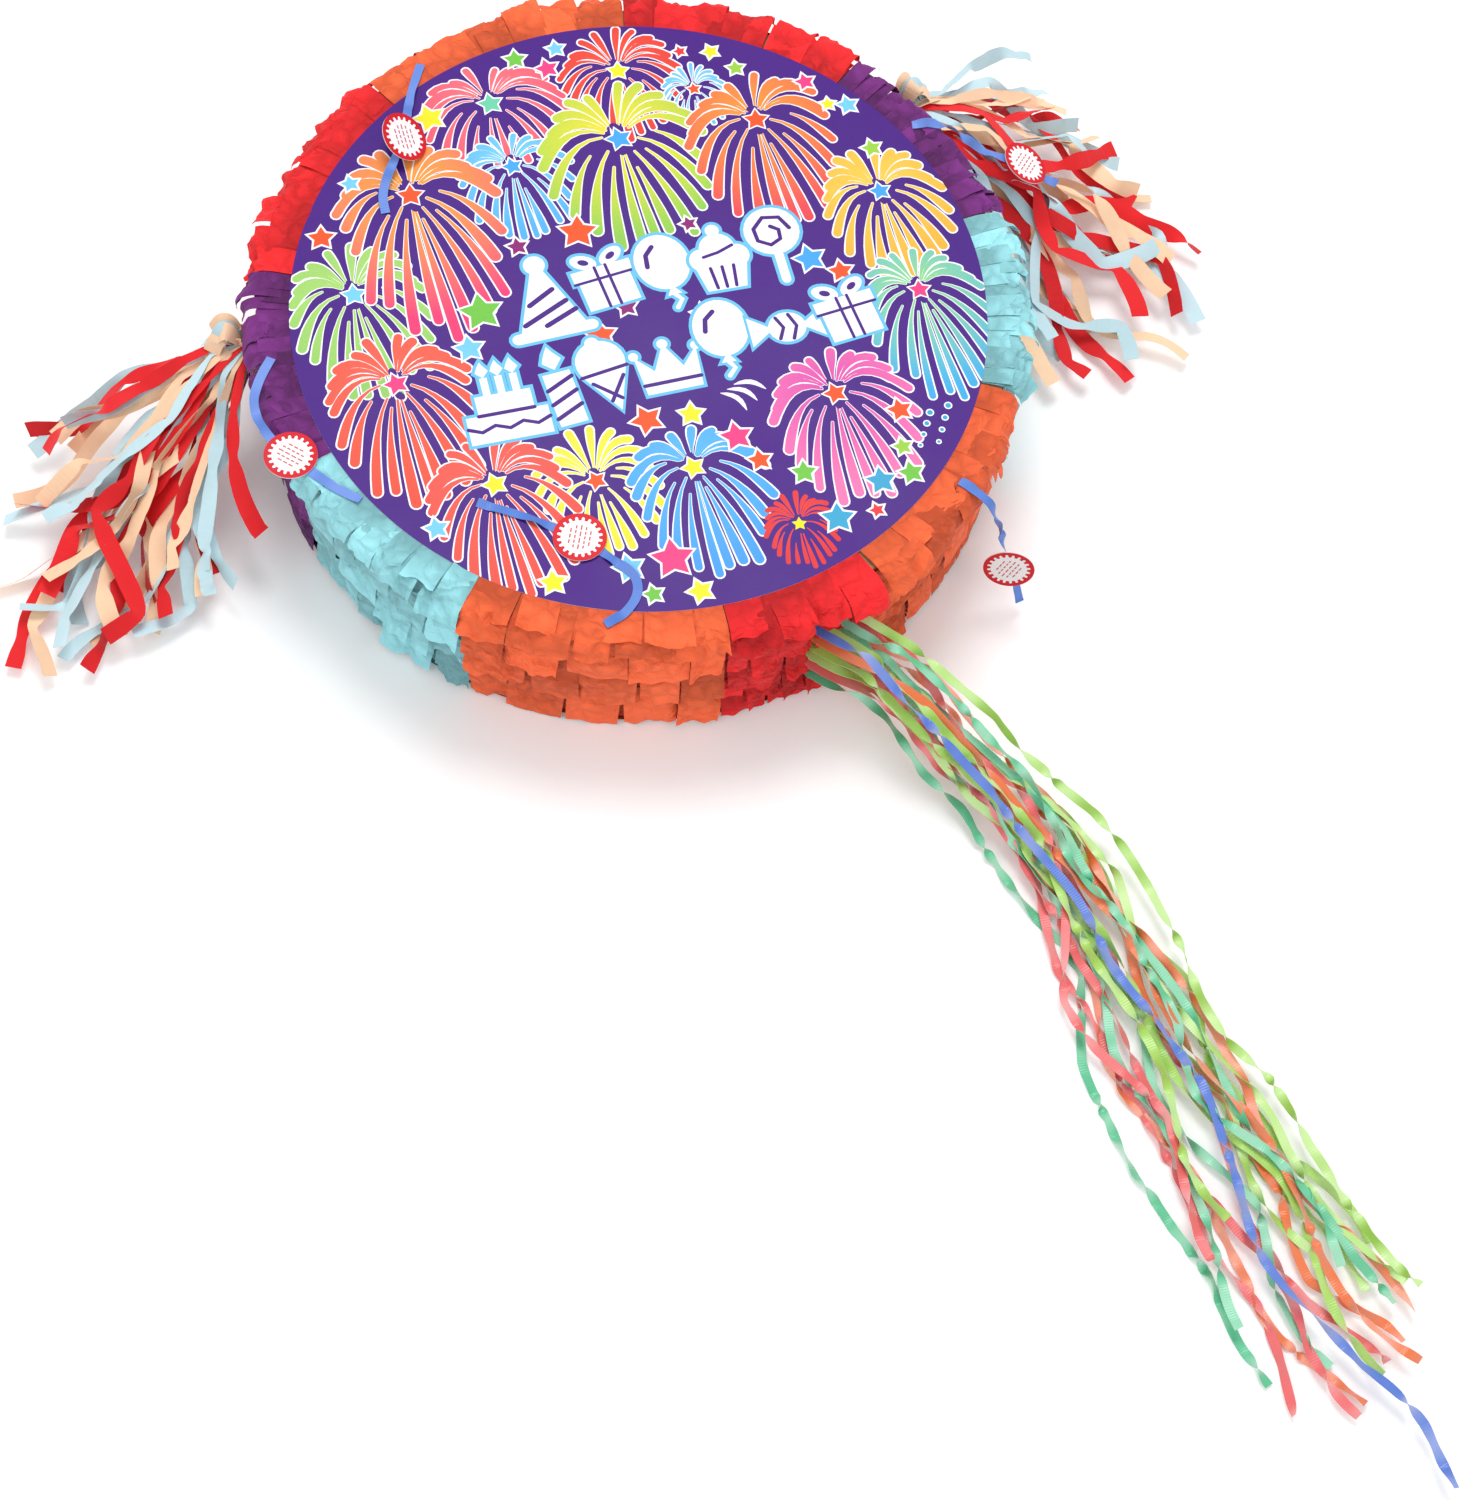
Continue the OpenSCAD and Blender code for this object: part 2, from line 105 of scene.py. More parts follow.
class Nodes:
    """A short way to write a node material."""

    def __init__(self, name):
        self.material = bpy.data.materials.new(name)
        self.material.use_nodes = True
        self.tree = self.material.node_tree
        self.shader = self.tree.nodes["Principled BSDF"]
        coords = self.add("ShaderNodeTexCoord")
        self.place, self.flat = coords.outputs["Object"], coords.outputs["UV"]

    def put(self, value, socket):
        """Links another node's socket, or sets a number or a colour."""
        if isinstance(value, bpy.types.NodeSocket):
            self.tree.links.new(value, socket)
        else:
            socket.default_value = (*value, 1) if socket.type == "RGBA" else value

    def add(self, kind, **values):
        node = self.tree.nodes.new(kind)
        for key, value in values.items():
            if hasattr(node, key):
                setattr(node, key, value)
            else:
                self.put(value, node.inputs[key.replace("_", " ")])
        return node

    def attribute(self, name, output):
        return self.add("ShaderNodeAttribute", attribute_name=name).outputs[output]

    def noise(self, coords, scale, stretch=(1, 1, 1), detail=3.0, rough=0.5):
        moved = self.add("ShaderNodeMapping", Vector=coords, Scale=stretch).outputs["Vector"]
        return self.add("ShaderNodeTexNoise", Vector=moved, Scale=scale, Detail=detail,
                        Roughness=rough).outputs["Fac"]

    def creases(self, coords, scale):
        """Crumpled paper: flat cells that meet in sharp folds, pulled out of line by noise."""
        bend = self.add("ShaderNodeTexNoise", Vector=coords, Scale=scale * 0.6, Detail=2.0)
        moved = self.multiply_add("VectorMath", bend.outputs["Color"], (0.6 / scale,) * 3, coords)
        cells = self.add("ShaderNodeTexVoronoi", feature="DISTANCE_TO_EDGE", Scale=scale,
                         Vector=moved)
        return self.ramp(cells.outputs["Distance"], 0.0, 0.3)

    def waves(self, coords, scale, direction, distortion=0.0):
        return self.add("ShaderNodeTexWave", Vector=coords, Scale=scale, Distortion=distortion,
                        bands_direction=direction).outputs["Fac"]

    def ramp(self, value, low, high, out_low=0.0, out_high=1.0):
        return self.add("ShaderNodeMapRange", Value=value, From_Min=low, From_Max=high,
                        To_Min=out_low, To_Max=out_high).outputs["Result"]

    def multiply_add(self, kind, *values):
        node = self.add("ShaderNode" + kind, operation="MULTIPLY_ADD")
        for value, socket in zip(values, node.inputs):
            self.put(value, socket)
        return node.outputs[0]

    def sum(self, a, b, share):
        """a, plus a share of b."""
        return self.multiply_add("Math", b, share, a)

    def mix(self, first, second, fac, blend="MIX"):
        """A colour between two, or their product. Each is a colour or a socket."""
        node = self.add("ShaderNodeMix", data_type="RGBA", blend_type=blend, Factor=fac)
        colours = [s for s in node.inputs if s.type == "RGBA"]
        self.put(first, colours[0])
        self.put(second, colours[1])
        return [s for s in node.outputs if s.type == "RGBA"][0]

    def bump(self, height, strength, distance):
        node = self.add("ShaderNodeBump", Height=height, Strength=strength, Distance=distance)
        self.put(node.outputs["Normal"], self.shader.inputs["Normal"])

    def finish(self, colour, rough, **values):
        for key, value in {"Base_Color": colour, "Roughness": rough, **values}.items():
            self.put(value, self.shader.inputs[key.replace("_", " ")])
        return self.material


def paper(name, rgb, crinkle=1.0, dark=0.54, light=1.1):
    """Thin dyed paper: fine crinkles, clouds in the dye, each flap's own tone, and painted shade:
    darker along the creases and towards each flap's root.
    """
    n = Nodes(name)
    clouds = n.noise(n.place, 60, detail=4)
    fine = n.noise(n.place, 900, detail=4, rough=0.7)
    creases = n.creases(n.flat, 95)
    # Painted shade: the colour is darker along the creases, and the tone attribute carries each
    # flap's painted shade.
    shade = n.sum(n.sum(n.attribute("tone", "Fac"), clouds, 0.35), creases, 0.22)
    colour = n.mix(*shades(rgb, dark, light), n.ramp(shade, 0.4, 1.12))
    n.bump(n.sum(creases, fine, 0.12), 0.8 * crinkle, 0.0014)
    return n.finish(colour, n.ramp(fine, 0, 1, 0.65, 0.85), Sheen_Weight=0.04,
                    Specular_IOR_Level=0.2)


def crepe(name, rgb):
    """Crepe strip: cross ribs, soft clouds in the dye, and each strip's tone, which holds painted
    light and shade.
    """
    n = Nodes(name)
    ribs = n.noise(n.flat, 380, stretch=(0.15, 1, 1), detail=3, rough=0.6)
    clouds = n.noise(n.place, 45, detail=3)
    shade = n.ramp(n.sum(n.attribute("tone", "Fac"), clouds, 0.3), 0.25, 0.95)
    n.bump(n.sum(ribs, clouds, 0.5), 0.4, 0.001)
    return n.finish(n.mix(*shades(rgb, 0.64, 1.06), shade), 0.62, Sheen_Weight=0.08,
                    Specular_IOR_Level=0.2)


def satin(name, rgb, pale=0.26, specular=0.6):
    """Curling ribbon: fine cross ribs and fibres, a painted sheen that makes it paler where it
    turns, and a soft gloss.
    """
    n = Nodes(name)
    ribs = n.waves(n.flat, 230, "Y")
    fibre = n.noise(n.flat, 500, stretch=(1, 0.1, 1), detail=2)
    clouds = n.noise(n.place, 25, detail=2)
    # The pale end of the painted sheen, and below it the darker end.
    high = tuple(pale + (1 - pale) * c for c in linear(rgb))
    shade = n.sum(n.attribute("tone", "Fac"), n.sum(clouds, fibre, 0.4), 0.35)
    colour = n.mix(shades(rgb, 0.84, 1.0)[0], high, n.ramp(shade, 0.2, 1.25))
    n.bump(n.sum(ribs, fibre, 0.3), 0.22, 0.0004)
    return n.finish(colour, n.ramp(clouds, 0.3, 0.7, 0.26, 0.4), Specular_IOR_Level=specular,
                    Sheen_Weight=0.1)


def ink(name):
    """Printed card: colours held on the face corners, a faint dot screen and a varnish."""
    n = Nodes(name)
    screen = n.noise(n.place, 1600, detail=2)
    wear = n.noise(n.place, 14, detail=5)
    tint = n.mix(linear((235, 233, 240)), (1.0, 1.0, 1.0),
                 n.ramp(n.sum(screen, wear, 0.6), 0.5, 1.0))
    colour = n.mix(n.attribute("ink", "Color"), tint, 1.0, "MULTIPLY")
    n.bump(n.sum(wear, screen, 0.1), 0.12, 0.003)
    return n.finish(colour, n.ramp(wear, 0.3, 0.7, 0.29, 0.42), Specular_IOR_Level=0.12)


def board(name, rgb):
    """Kraft cardboard: long fibres, flecks and a soft ripple from the fluting."""
    n = Nodes(name)
    fibres = n.noise(n.place, 240, stretch=(1, 1, 6), detail=5, rough=0.65)
    flecks = n.noise(n.place, 1300, detail=2)
    fluting = n.waves(n.place, 60, "Z", distortion=0.4)
    colour = n.mix(*shades(rgb, 0.7, 1.12), n.ramp(n.sum(fibres, flecks, 0.4), 0.45, 0.95))
    n.bump(n.sum(fibres, fluting, 0.4), 0.3, 0.0006)
    return n.finish(colour, 0.86)


tissue = {
    "red": paper("tissue_red_paper", (236, 40, 44)),
    "orange": paper("tissue_orange_paper", (250, 106, 62)),
    "sky": paper("tissue_sky_paper", (158, 226, 234), dark=0.52, light=1.04),
    "purple": paper("tissue_purple_paper", (112, 44, 118), dark=0.5, light=1.25),
}
crepes = {k: crepe(f"crepe_{k}_paper", rgb) for k, rgb in CREPE_COLOURS.items()}
satins = {k: satin(f"ribbon_{k}_satin", rgb) for k, rgb in RIBBON_COLOURS.items()}
satins["tag"] = satin("tag_ribbon_satin", (82, 128, 216), pale=0.08, specular=0.2)
printed = ink("printed_card")
cardboard = board("kraft_board", (186, 150, 108))
white_sheet = paper("white_cover_paper", (240, 238, 234), crinkle=0.4, dark=0.9, light=1.0)
string = crepe("loop_string", (236, 230, 218))

# ---- mesh tools

# Each slab's crinkles come from a place of its own in the pattern, up to this far away.
UV_SPREAD = 400


def quads(*corners):
    """Four-sided faces from the point numbers of their corners, an array for each corner."""
    return np.stack(corners, axis=-1).reshape(-1, 4).tolist()


class Parts:
    """Collects the slabs of one piece."""

    def __init__(self):
        self.points, self.faces, self.uvs, self.tones_and_shades = [], [], [], []
        self.count = 0
        self.area = 0.0

    def slab(self, grid, thick, tone=0.5):
        """A closed sheet. grid holds its middle, rows x columns x 3, and thick its thickness."""
        grid = np.asarray(grid, float)
        rows, cols = grid.shape[:2]
        along, across = np.gradient(grid, axis=0), np.gradient(grid, axis=1)
        normal = unit(np.cross(across, along))
        u = np.linspace(0, 1, cols) * along_line(grid[0])[-1]
        uv = np.stack(np.meshgrid(u, along_line(grid[:, cols // 2])), axis=2)
        uv = uv + rng.uniform(0, UV_SPREAD, 2)
        tone = np.broadcast_to(np.asarray(tone, float), (rows, cols))
        far = rows * cols
        front = np.arange(far).reshape(rows, cols) + self.count
        back = front + far
        self.faces += quads(front[:-1, :-1], front[:-1, 1:], front[1:, 1:], front[1:, :-1])
        self.faces += quads(back[:-1, :-1], back[1:, :-1], back[1:, 1:], back[:-1, 1:])
        ring = np.concatenate([front[0, :-1], front[:-1, -1], front[-1, :0:-1], front[:0:-1, 0]])
        after = np.roll(ring, -1)
        self.faces += quads(after, ring, ring + far, after + far)
        for side in (0.5, -0.5):
            self.points.append((grid + normal * thick * side).reshape(-1, 3))
            self.uvs.append(uv.reshape(-1, 2))
            self.tones_and_shades.append(tone.reshape(-1))
        self.count += 2 * far
        cells = np.cross(across[:-1, :-1], along[:-1, :-1])
        self.area += float(np.linalg.norm(cells, axis=2).sum())

    def mirror(self):
        self.points = [p * (-1, 1, 1) for p in self.points]
        self.faces = [f[::-1] for f in self.faces]

    def piece(self, name, material, smooth=True):
        return mesh_object(name, np.concatenate(self.points), self.faces, material,
                           uvs=np.concatenate(self.uvs), tones_and_shades=np.concatenate(self.tones_and_shades),
                           smooth=smooth)


def mesh_object(name, points, faces, material, uvs=None, tones_and_shades=None, inks=None, smooth=True):
    mesh = bpy.data.meshes.new(name)
    mesh.from_pydata((np.asarray(points) * MM).tolist(), [], faces)
    mesh.polygons.foreach_set("use_smooth", [smooth] * len(mesh.polygons))
    if uvs is not None:
        corner = np.empty(len(mesh.loops), np.int32)
        mesh.loops.foreach_get("vertex_index", corner)
        layer = mesh.uv_layers.new(name="flat")
        layer.data.foreach_set("uv", (uvs[corner] * MM).ravel().astype(np.float32))
    for values, layer, field in ((tones_and_shades, ("tone", "FLOAT", "POINT"), "value"),
                                 (inks, ("ink", "FLOAT_COLOR", "CORNER"), "color")):
        if values is not None:
            data = mesh.attributes.new(*layer).data
            data.foreach_set(field, np.asarray(values, np.float32).ravel())
    mesh.materials.append(material)
    mesh.validate()
    if smooth:
        mesh.set_sharp_from_angle(angle=SHARP)
    mesh.update()
    piece = bpy.data.objects.new(name, mesh)
    bpy.context.scene.collection.objects.link(piece)
    return piece


def smoothstep(x, low, high):
    t = np.clip((np.asarray(x, float) - low) / (high - low), 0, 1)
    return t * t * (3 - 2 * t)


def table(rows, x):
    """Value at x from a table of [x, value] rows."""
    rows = np.asarray(rows, float)
    return np.interp(x, rows[:, 0], rows[:, 1])


def unit(v):
    """Vectors of length 1."""
    return v / np.maximum(np.linalg.norm(v, axis=-1, keepdims=True), 1e-9)


def fasten(piece, body, slot, *nodes):
    """Puts a piece on its body and hides the CAD nodes that it stands for; slot is not used."""
    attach(piece, body)
    if nodes:
        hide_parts(*nodes)


def repaint(node, material):
    """Gives a CAD node that stays a better material."""
    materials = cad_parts[node].data.materials
    materials.clear()
    materials.append(material)


def around(r, angle, z):
    """Points at a radius, an angle and a height."""
    return np.stack([r * np.cos(angle), r * np.sin(angle), z], axis=-1)


def turned(points, angle):
    """Points in the plane, turned about the origin."""
    c, s = math.cos(angle), math.sin(angle)
    return points @ np.array([[c, s], [-s, c]])


def ribbon_grid(line, width, roll, cup, cols=5):
    """Points of a ribbon along line, cupped, and turned about the line by roll from flat."""
    along = unit(np.gradient(line, axis=0))
    side = unit(np.cross(along, (0.0, 0.0, 1.0)))
    up = np.cross(side, along)
    c, s = np.cos(roll)[:, None], np.sin(roll)[:, None]
    across, lift = c * side + s * up, c * up - s * side
    x = np.linspace(-0.5, 0.5, cols)[None, :, None]
    w = np.broadcast_to(np.asarray(width, float), (len(line),))[:, None, None]
    return (line[:, None] + across[:, None] * x * w
            + lift[:, None] * (cup * (0.25 - x * x)) * w)


def along_line(line):
    """Distance from the start to each point of a line."""
    return np.concatenate([[0], np.cumsum(np.linalg.norm(np.diff(line, axis=0), axis=1))])


def resample(line, count):
    """The line with count points, evenly spaced along it."""
    s = along_line(line)
    t = np.linspace(0, s[-1], count)
    return np.stack([np.interp(t, s, line[:, k]) for k in range(3)], axis=1)


# ---- pull ribbons

DRUM_R = 200.0
WALL_IN_R = 197.0
FLARE = 4.2
RIBBON_W = 5.0
RIBBON_T = 0.25
WAVE_LEN = 150.0
FLOOR_Z0, FLOOR_DZ = 0.5, 0.55
SLIT_X0, SLIT_DX, SLIT_COLS = 6.0, 9.0, 4
SLIT_Z0, SLIT_DZ, SLIT_STEP = 24.0, 10.0, 1.2

# The bundle by distance from the drum's axis: its middle, the share of a slit's height and of
# the slits' spacing that is left, and how far it has fanned out.
BUNDLE_X = [[190, 20], [210, 22], [230, 37], [255, 45], [282, 54], [310, 66], [340, 74],
            [400, 77], [460, 75], [520, 74], [570, 75], [620, 78], [660, 81], [730, 90]]
BUNDLE_FALL = [[190, 1], [210, 1], [230, 0.95], [255, 0.79], [280, 0.57], [305, 0.35],
               [330, 0.18], [355, 0.07], [380, 0.02], [400, 0]]
BUNDLE_NEAR = [[190, 1], [215, 1], [350, 0.4], [450, 0]]
BUNDLE_FAR = [[190, 0], [230, 0], [330, 0.35], [450, 0.6], [580, 0.8], [660, 1], [730, 1.15]]
# Fan offset, wave height, wave phase, distance of the free end from the axis, and colour.
RIBBON_PLAN = [
    (-30, 6, 0, 640, "mint"), (12, 7, 90, 655, "coral"), (40, 6, 200, 620, "lime"),
    (-12, 9, 30, 668, "orange"), (-24, 5, 150, 658, "coral"), (58, 8, 260, 600, "lime"),
    (5, 8, 310, 645, "mint"), (30, 6, 60, 650, "orange"), (22, 9, 120, 590, "lime"),
    (-5, 7, 240, 672, "coral"), (-20, 8, 10, 610, "mint"), (50, 7, 180, 640, "orange"),
    (16, 9, 300, 660, "lime"), (54, 8, 70, 625, "lime"), (46, 6, 220, 632, "mint"),
    (-22, 7, 100, 575, "coral"), (34, 8, 340, 662, "orange"), (0, 9, 160, 560, "lime"),
    (36, 9, 280, 605, "mint"), (64, 6, 20, 630, "lime"), (8, 8, 50, 722, "blue")]


def slit_x(i):
    return SLIT_X0 + SLIT_DX * (i % SLIT_COLS)


def slit_z(i):
    return SLIT_Z0 + SLIT_DZ * (i // SLIT_COLS) + SLIT_STEP * (i % SLIT_COLS)


def ribbon_route(i, rings=150):
    """Straight out through its slit, down in the bundle, and along the floor in soft waves."""
    fan, high, phase, end, _ = RIBBON_PLAN[i]
    start = math.sqrt(WALL_IN_R ** 2 - slit_x(i) ** 2) + 0.1
    out = DRUM_R + FLARE + 2
    d = np.concatenate([np.linspace(start, out, 4)[:-1], np.linspace(out, end, rings)])
    far = table(BUNDLE_FAR, d)
    x = (table(BUNDLE_X, d) + (slit_x(i) - SLIT_X0 - SLIT_DX * 1.5) * table(BUNDLE_NEAR, d)
         + fan * far + high * far * np.sin(np.radians(360 * (d - DRUM_R) / WAVE_LEN + phase)))
    x = np.where(d < out + 1, slit_x(i), x)
    fall = table(BUNDLE_FALL, d)
    z = slit_z(i) * fall + (FLOOR_Z0 + FLOOR_DZ * i) * (1 - fall)
    return np.stack([x, -d, z], axis=1)


def twists(s, first, gap, over):
    """Roll along a ribbon: half turns in short stretches, with flatter stretches between."""
    roll = np.zeros_like(s)
    at = first
    turn = rng.choice((-1, 1))
    while at < s[-1] - 12:
        stretch = rng.uniform(*over)
        roll += turn * math.pi * smoothstep(s, at, at + stretch)
        turn = -turn if rng.random() < 0.4 else turn
        at += stretch + rng.uniform(*gap)
    return roll


def small_waves(s, size, lengths):
    total = np.zeros_like(s)
    for length in lengths:
        total += size * rng.uniform(0.5, 1) * np.sin(2 * math.pi * s / length
                                                     + rng.uniform(0, 2 * math.pi))
    return total


def folds(s, gap, bend, pull_back, turn=0.0, pinch=0.0):
    """Sideways drift, roll and width of a strip that is folded sharply here and there."""
    heading, roll, width = np.zeros_like(s), np.zeros_like(s), np.ones_like(s)
    step = np.gradient(s)
    at, old, old_roll = rng.uniform(*gap), 0.0, 0.0
    while at < s[-1] - 10:
        drift = (heading * step)[s < at].sum()
        new, new_roll = rng.normal(-pull_back * drift, bend), rng.normal(0, turn)
        heading += (new - old) * smoothstep(s, at - 2.5, at + 2.5)
        roll += (new_roll - old_roll) * smoothstep(s, at - 5, at + 5)
        width -= rng.uniform(0.3 * pinch, pinch) * np.exp(-((s - at) / 5) ** 2)
        old, old_roll = new, new_roll
        at += rng.uniform(*gap)
    return np.cumsum(heading * step), roll, width


def painted_satin_sheen(roll):
    """Painted sheen: lighter where the ribbon is turned to one side, as satin's sheen falls."""
    tone = 0.5 + 0.5 * np.cos(2 * roll + rng.uniform(0, 2 * math.pi))
    return np.clip(tone, 0, 1)[:, None]


def satin_ribbon(name, line, roll, cup, colour):
    parts = Parts()
    parts.slab(ribbon_grid(line, RIBBON_W, roll, cup), RIBBON_T, painted_satin_sheen(roll))
    return parts.piece(name, satins[colour])


def pull_ribbon(i):
    line = resample(ribbon_route(i), 230)
    s = along_line(line)
    free = smoothstep(s, 12, 45)
    line[:, 0] += free * folds(s, (18, 46), 0.12, 0.012)[0]
    roll = twists(s, rng.uniform(16, 40), (8, 40), (14, 44))
    roll += free * small_waves(s, 0.75, (37, 71))
    line[:, 2] = np.maximum(line[:, 2], 0.3 + 0.5 * RIBBON_W * np.abs(np.sin(roll)))
    curl = smoothstep(s, s[-1] - 22, s[-1])
    line[:, 2] += curl ** 2 * rng.uniform(0, 5)
    colour = RIBBON_PLAN[i][4]
    piece = satin_ribbon(f"curling_ribbon_{i + 1:02d}", line, roll, 0.03, colour)
    fasten(piece, "hatch", "ribbon_" + colour, f"pull_ribbon_{i + 1:02d}")


for number in range(len(RIBBON_PLAN)):
    pull_ribbon(number)

# ---- painted card

# Inner radius of a star, for an outer one of 1.
STAR_INNER = 0.52


def circle(x, y, r, n=24, squash=1.0, turn=0.0):
    a = np.linspace(0, 2 * math.pi, n, endpoint=False)
    p = np.stack([r * np.cos(a), r * squash * np.sin(a)], axis=1)
    return turned(p, turn) + (x, y)


def star(x, y, r, turn):
    a = math.radians(90) + turn + np.arange(10) * math.pi / 5
    radius = np.where(np.arange(10) % 2 == 0, r, r * STAR_INNER)
    return np.stack([x + radius * np.cos(a), y + radius * np.sin(a)], axis=1)


def capsule(points, widths, cap=5):
    """A round-ended stroke along points."""
    p = np.asarray(points, float)
    w = np.broadcast_to(np.asarray(widths, float), (len(p),)) / 2
    along = unit(np.gradient(p, axis=0))
    side = np.stack([-along[:, 1], along[:, 0]], axis=1)

    def end(k, first):
        a = np.linspace(-math.pi / 2, math.pi / 2, cap + 2)[1:-1]
        forward = -along[k] if first else along[k]
        left = -side[k] if first else side[k]
        return p[k] + w[k] * (np.cos(a)[:, None] * forward + np.sin(a)[:, None] * left)

    return np.concatenate([p - side * w[:, None], end(-1, False),
                           (p + side * w[:, None])[::-1], end(0, True)])


def anticlockwise(shape):
    p = np.asarray(shape, float)
    after = np.roll(p, -1, 0)
    return p if (p[:, 0] * after[:, 1] - p[:, 1] * after[:, 0]).sum() > 0 else p[::-1]


def grow(shape, by):
    """The outline moved outwards."""
    p = anticlockwise(shape)
    before, after = unit(p - np.roll(p, 1, 0)), unit(np.roll(p, -1, 0) - p)
    n0 = np.stack([before[:, 1], -before[:, 0]], axis=1)
    n1 = np.stack([after[:, 1], -after[:, 0]], axis=1)
    middle = unit(n0 + n1)
    reach = np.clip(1 / np.maximum((middle * n0).sum(1), 0.2), 1, 1.7)
    return p + middle * reach[:, None] * by


class Paint:
    """Shapes for one printed card. Each later shape covers the earlier ones."""

    def __init__(self):
        self.shapes, self.fills = [], []

    def add(self, shape, colour, fade_to=None, middle=(0, 0), reach=1.0):
        """The colour may fade to another, reach away from middle."""
        self.shapes.append(anticlockwise(shape))
        self.fills.append((*linear(colour), *linear(fade_to or colour), *middle, reach))

    def faces(self):
        """Points, triangles and a colour for every corner of the flat drawing."""
        points = [Vector(p) for shape in self.shapes for p in shape.tolist()]
        ends = np.cumsum([len(shape) for shape in self.shapes]).tolist()
        loops = [list(range(a, b)) for a, b in zip([0] + ends, ends)]
        flat, _, tris, _, _, owners = delaunay_2d_cdt(points, [], loops, 1, 1e-4, True)
        flat = np.array([tuple(p) for p in flat])
        top = np.array([max(o) if 0 in o else -1 for o in owners])
        tris, top = np.array(tris)[top >= 0], top[top >= 0]
        fills = np.array(self.fills)[top][:, None]
        inner, outer, middle, reach = np.split(fills, (3, 6, 8), axis=2)
        t = np.clip(np.linalg.norm(flat[tris] - middle, axis=2, keepdims=True) / reach, 0, 1)
        colour = inner * (1 - t) + outer * t
        return flat, tris, np.concatenate([colour, np.ones(colour.shape[:2] + (1,))], axis=2)


def card(name, paint, rim, thick, back, place):
    """A thin card: the drawing on its front, a plain edge and back. rim is its outline."""
    flat, tris, colour = paint.faces()
    area = np.cross(flat[tris[:, 1]] - flat[tris[:, 0]], flat[tris[:, 2]] - flat[tris[:, 0]])
    real = np.abs(area) > 1e-7
    tris, colour, wrong = tris[real], colour[real], area[real] < 0
    tris[wrong] = tris[wrong][:, ::-1]
    colour[wrong] = colour[wrong][:, ::-1]
    n = len(flat)
    front = np.concatenate([flat, np.full((n, 1), thick)], axis=1)
    ring = len(rim)
    top = np.concatenate([rim, np.full((ring, 1), thick)], axis=1)
    low = np.concatenate([rim, np.zeros((ring, 1))], axis=1)
    points = np.concatenate([front, top, low])
    i = n + np.arange(ring)
    j = np.roll(i, -1)
    faces = tris.tolist() + quads(i, ring + i, ring + j, j) + [(ring + i[::-1]).tolist()]
    plain = np.tile((*linear(back), 1.0), (5 * ring, 1))
    inks = np.concatenate([colour.reshape(-1, 4), plain])
    return mesh_object(name, place(points), faces, printed, uvs=points[:, :2], inks=inks,
                       smooth=False)


# ---- printed face

PRINT_R = 188.0
PRINT_Z = 97.0
CARD_T = 1.0
ART_TURN = math.radians(-7.5)
OUTLINE = 0.95
RAY_POINTS = 8


def art(x, y):
    """A direction of the drawing, which is turned a little on the drum."""
    c, s = math.cos(ART_TURN), math.sin(ART_TURN)
    return np.stack([c * x - s * y, s * x + c * y], axis=-1)


def ray(side, up, down, angle, short):
    """A ray to the right of the middle: it leaves the star at an angle and bends as it falls."""
    c, s = math.cos(math.radians(angle)), math.sin(math.radians(angle))
    end = np.array([side * c, (up if s > 0 else down) * s - 0.12 * down * c * c])
    end *= rng.uniform(0.88, 1.04)
    bend = np.array([(0.52 + 0.2 * max(0.0, -s)) * end[0], 0.5 * end[1] + 0.6 * end[0]])
    t = np.linspace(0, 1, 40)[:, None]
    line = 2 * t * (1 - t) * bend + t ** 2 * end
    gap = rng.uniform(1.9, 2.6) if s < 0 and short else rng.uniform(0.95, 1.35)
    line = line[np.linalg.norm(line, axis=1) > (0.14 * side + 1.6) * gap]
    return resample(np.concatenate([line, np.zeros((len(line), 1))], axis=1), RAY_POINTS)


def firework(paint, middle, side, up, down, rays, width, inner, outer, hub, outlined=True):
    """Rays that leave a star like a fountain: the upper ones curl over, the lower ones hang."""
    middle = np.array(middle, float)
    share = np.linspace(0, 1, RAY_POINTS)
    half = rays // 2
    angles = [(-90.0, 1)] + [(-90 + 172 * (k + 0.8) / half + rng.uniform(-2.5, 2.5), hand)
                             for hand in (1, -1) for k in range(half)]
    strokes = []
    for number, (angle, hand) in enumerate(angles):
        line = ray(side, up, down, angle, number % 2)
        fat = width * (0.28 + 0.92 * smoothstep(share, 0, 0.85)) * rng.uniform(0.85, 1.1)
        strokes.append((middle + art(hand * line[:, 0], line[:, 1]), fat))
    if outlined:
        for line, fat in strokes:
            paint.add(capsule(line, fat + 2 * OUTLINE * (0.3 + 0.7 * share)), WHITE)
    for line, fat in strokes:
        paint.add(capsule(line, fat), inner, outer, middle, 0.85 * max(side, down))
    for shift in (1.0, -1.0):
        spot = middle + art(0.0, shift * (0.16 * side + 1.0))
        paint.add(circle(*spot, 0.06 * side + 0.8, 9, 0.7, rng.uniform(0, 3)), PRINT_PURPLE)
    small_star(paint, middle, 0.13 * side + 1.6, STAR_COLOURS[hub], 0.9 if outlined else 0.0)


def small_star(paint, middle, r, colour, edge=1.2):
    """A star, with a white edge unless edge is 0."""
    turn = ART_TURN + rng.uniform(-0.25, 0.25)
    if edge:
        paint.add(grow(star(*middle, r, turn), edge), WHITE)
    paint.add(star(*middle, r, turn), colour)


STAR_COLOURS = {
    "yellow": (252, 232, 40), "sky": (120, 204, 246), "orange": (244, 88, 40),
    "plum": (140, 34, 116), "green": (116, 198, 72), "lime": (156, 208, 70),
    "pink": (240, 66, 132), "blue": (70, 166, 234), "teal": (62, 168, 208),
    "red": (232, 60, 62), "mint": (108, 204, 166)}

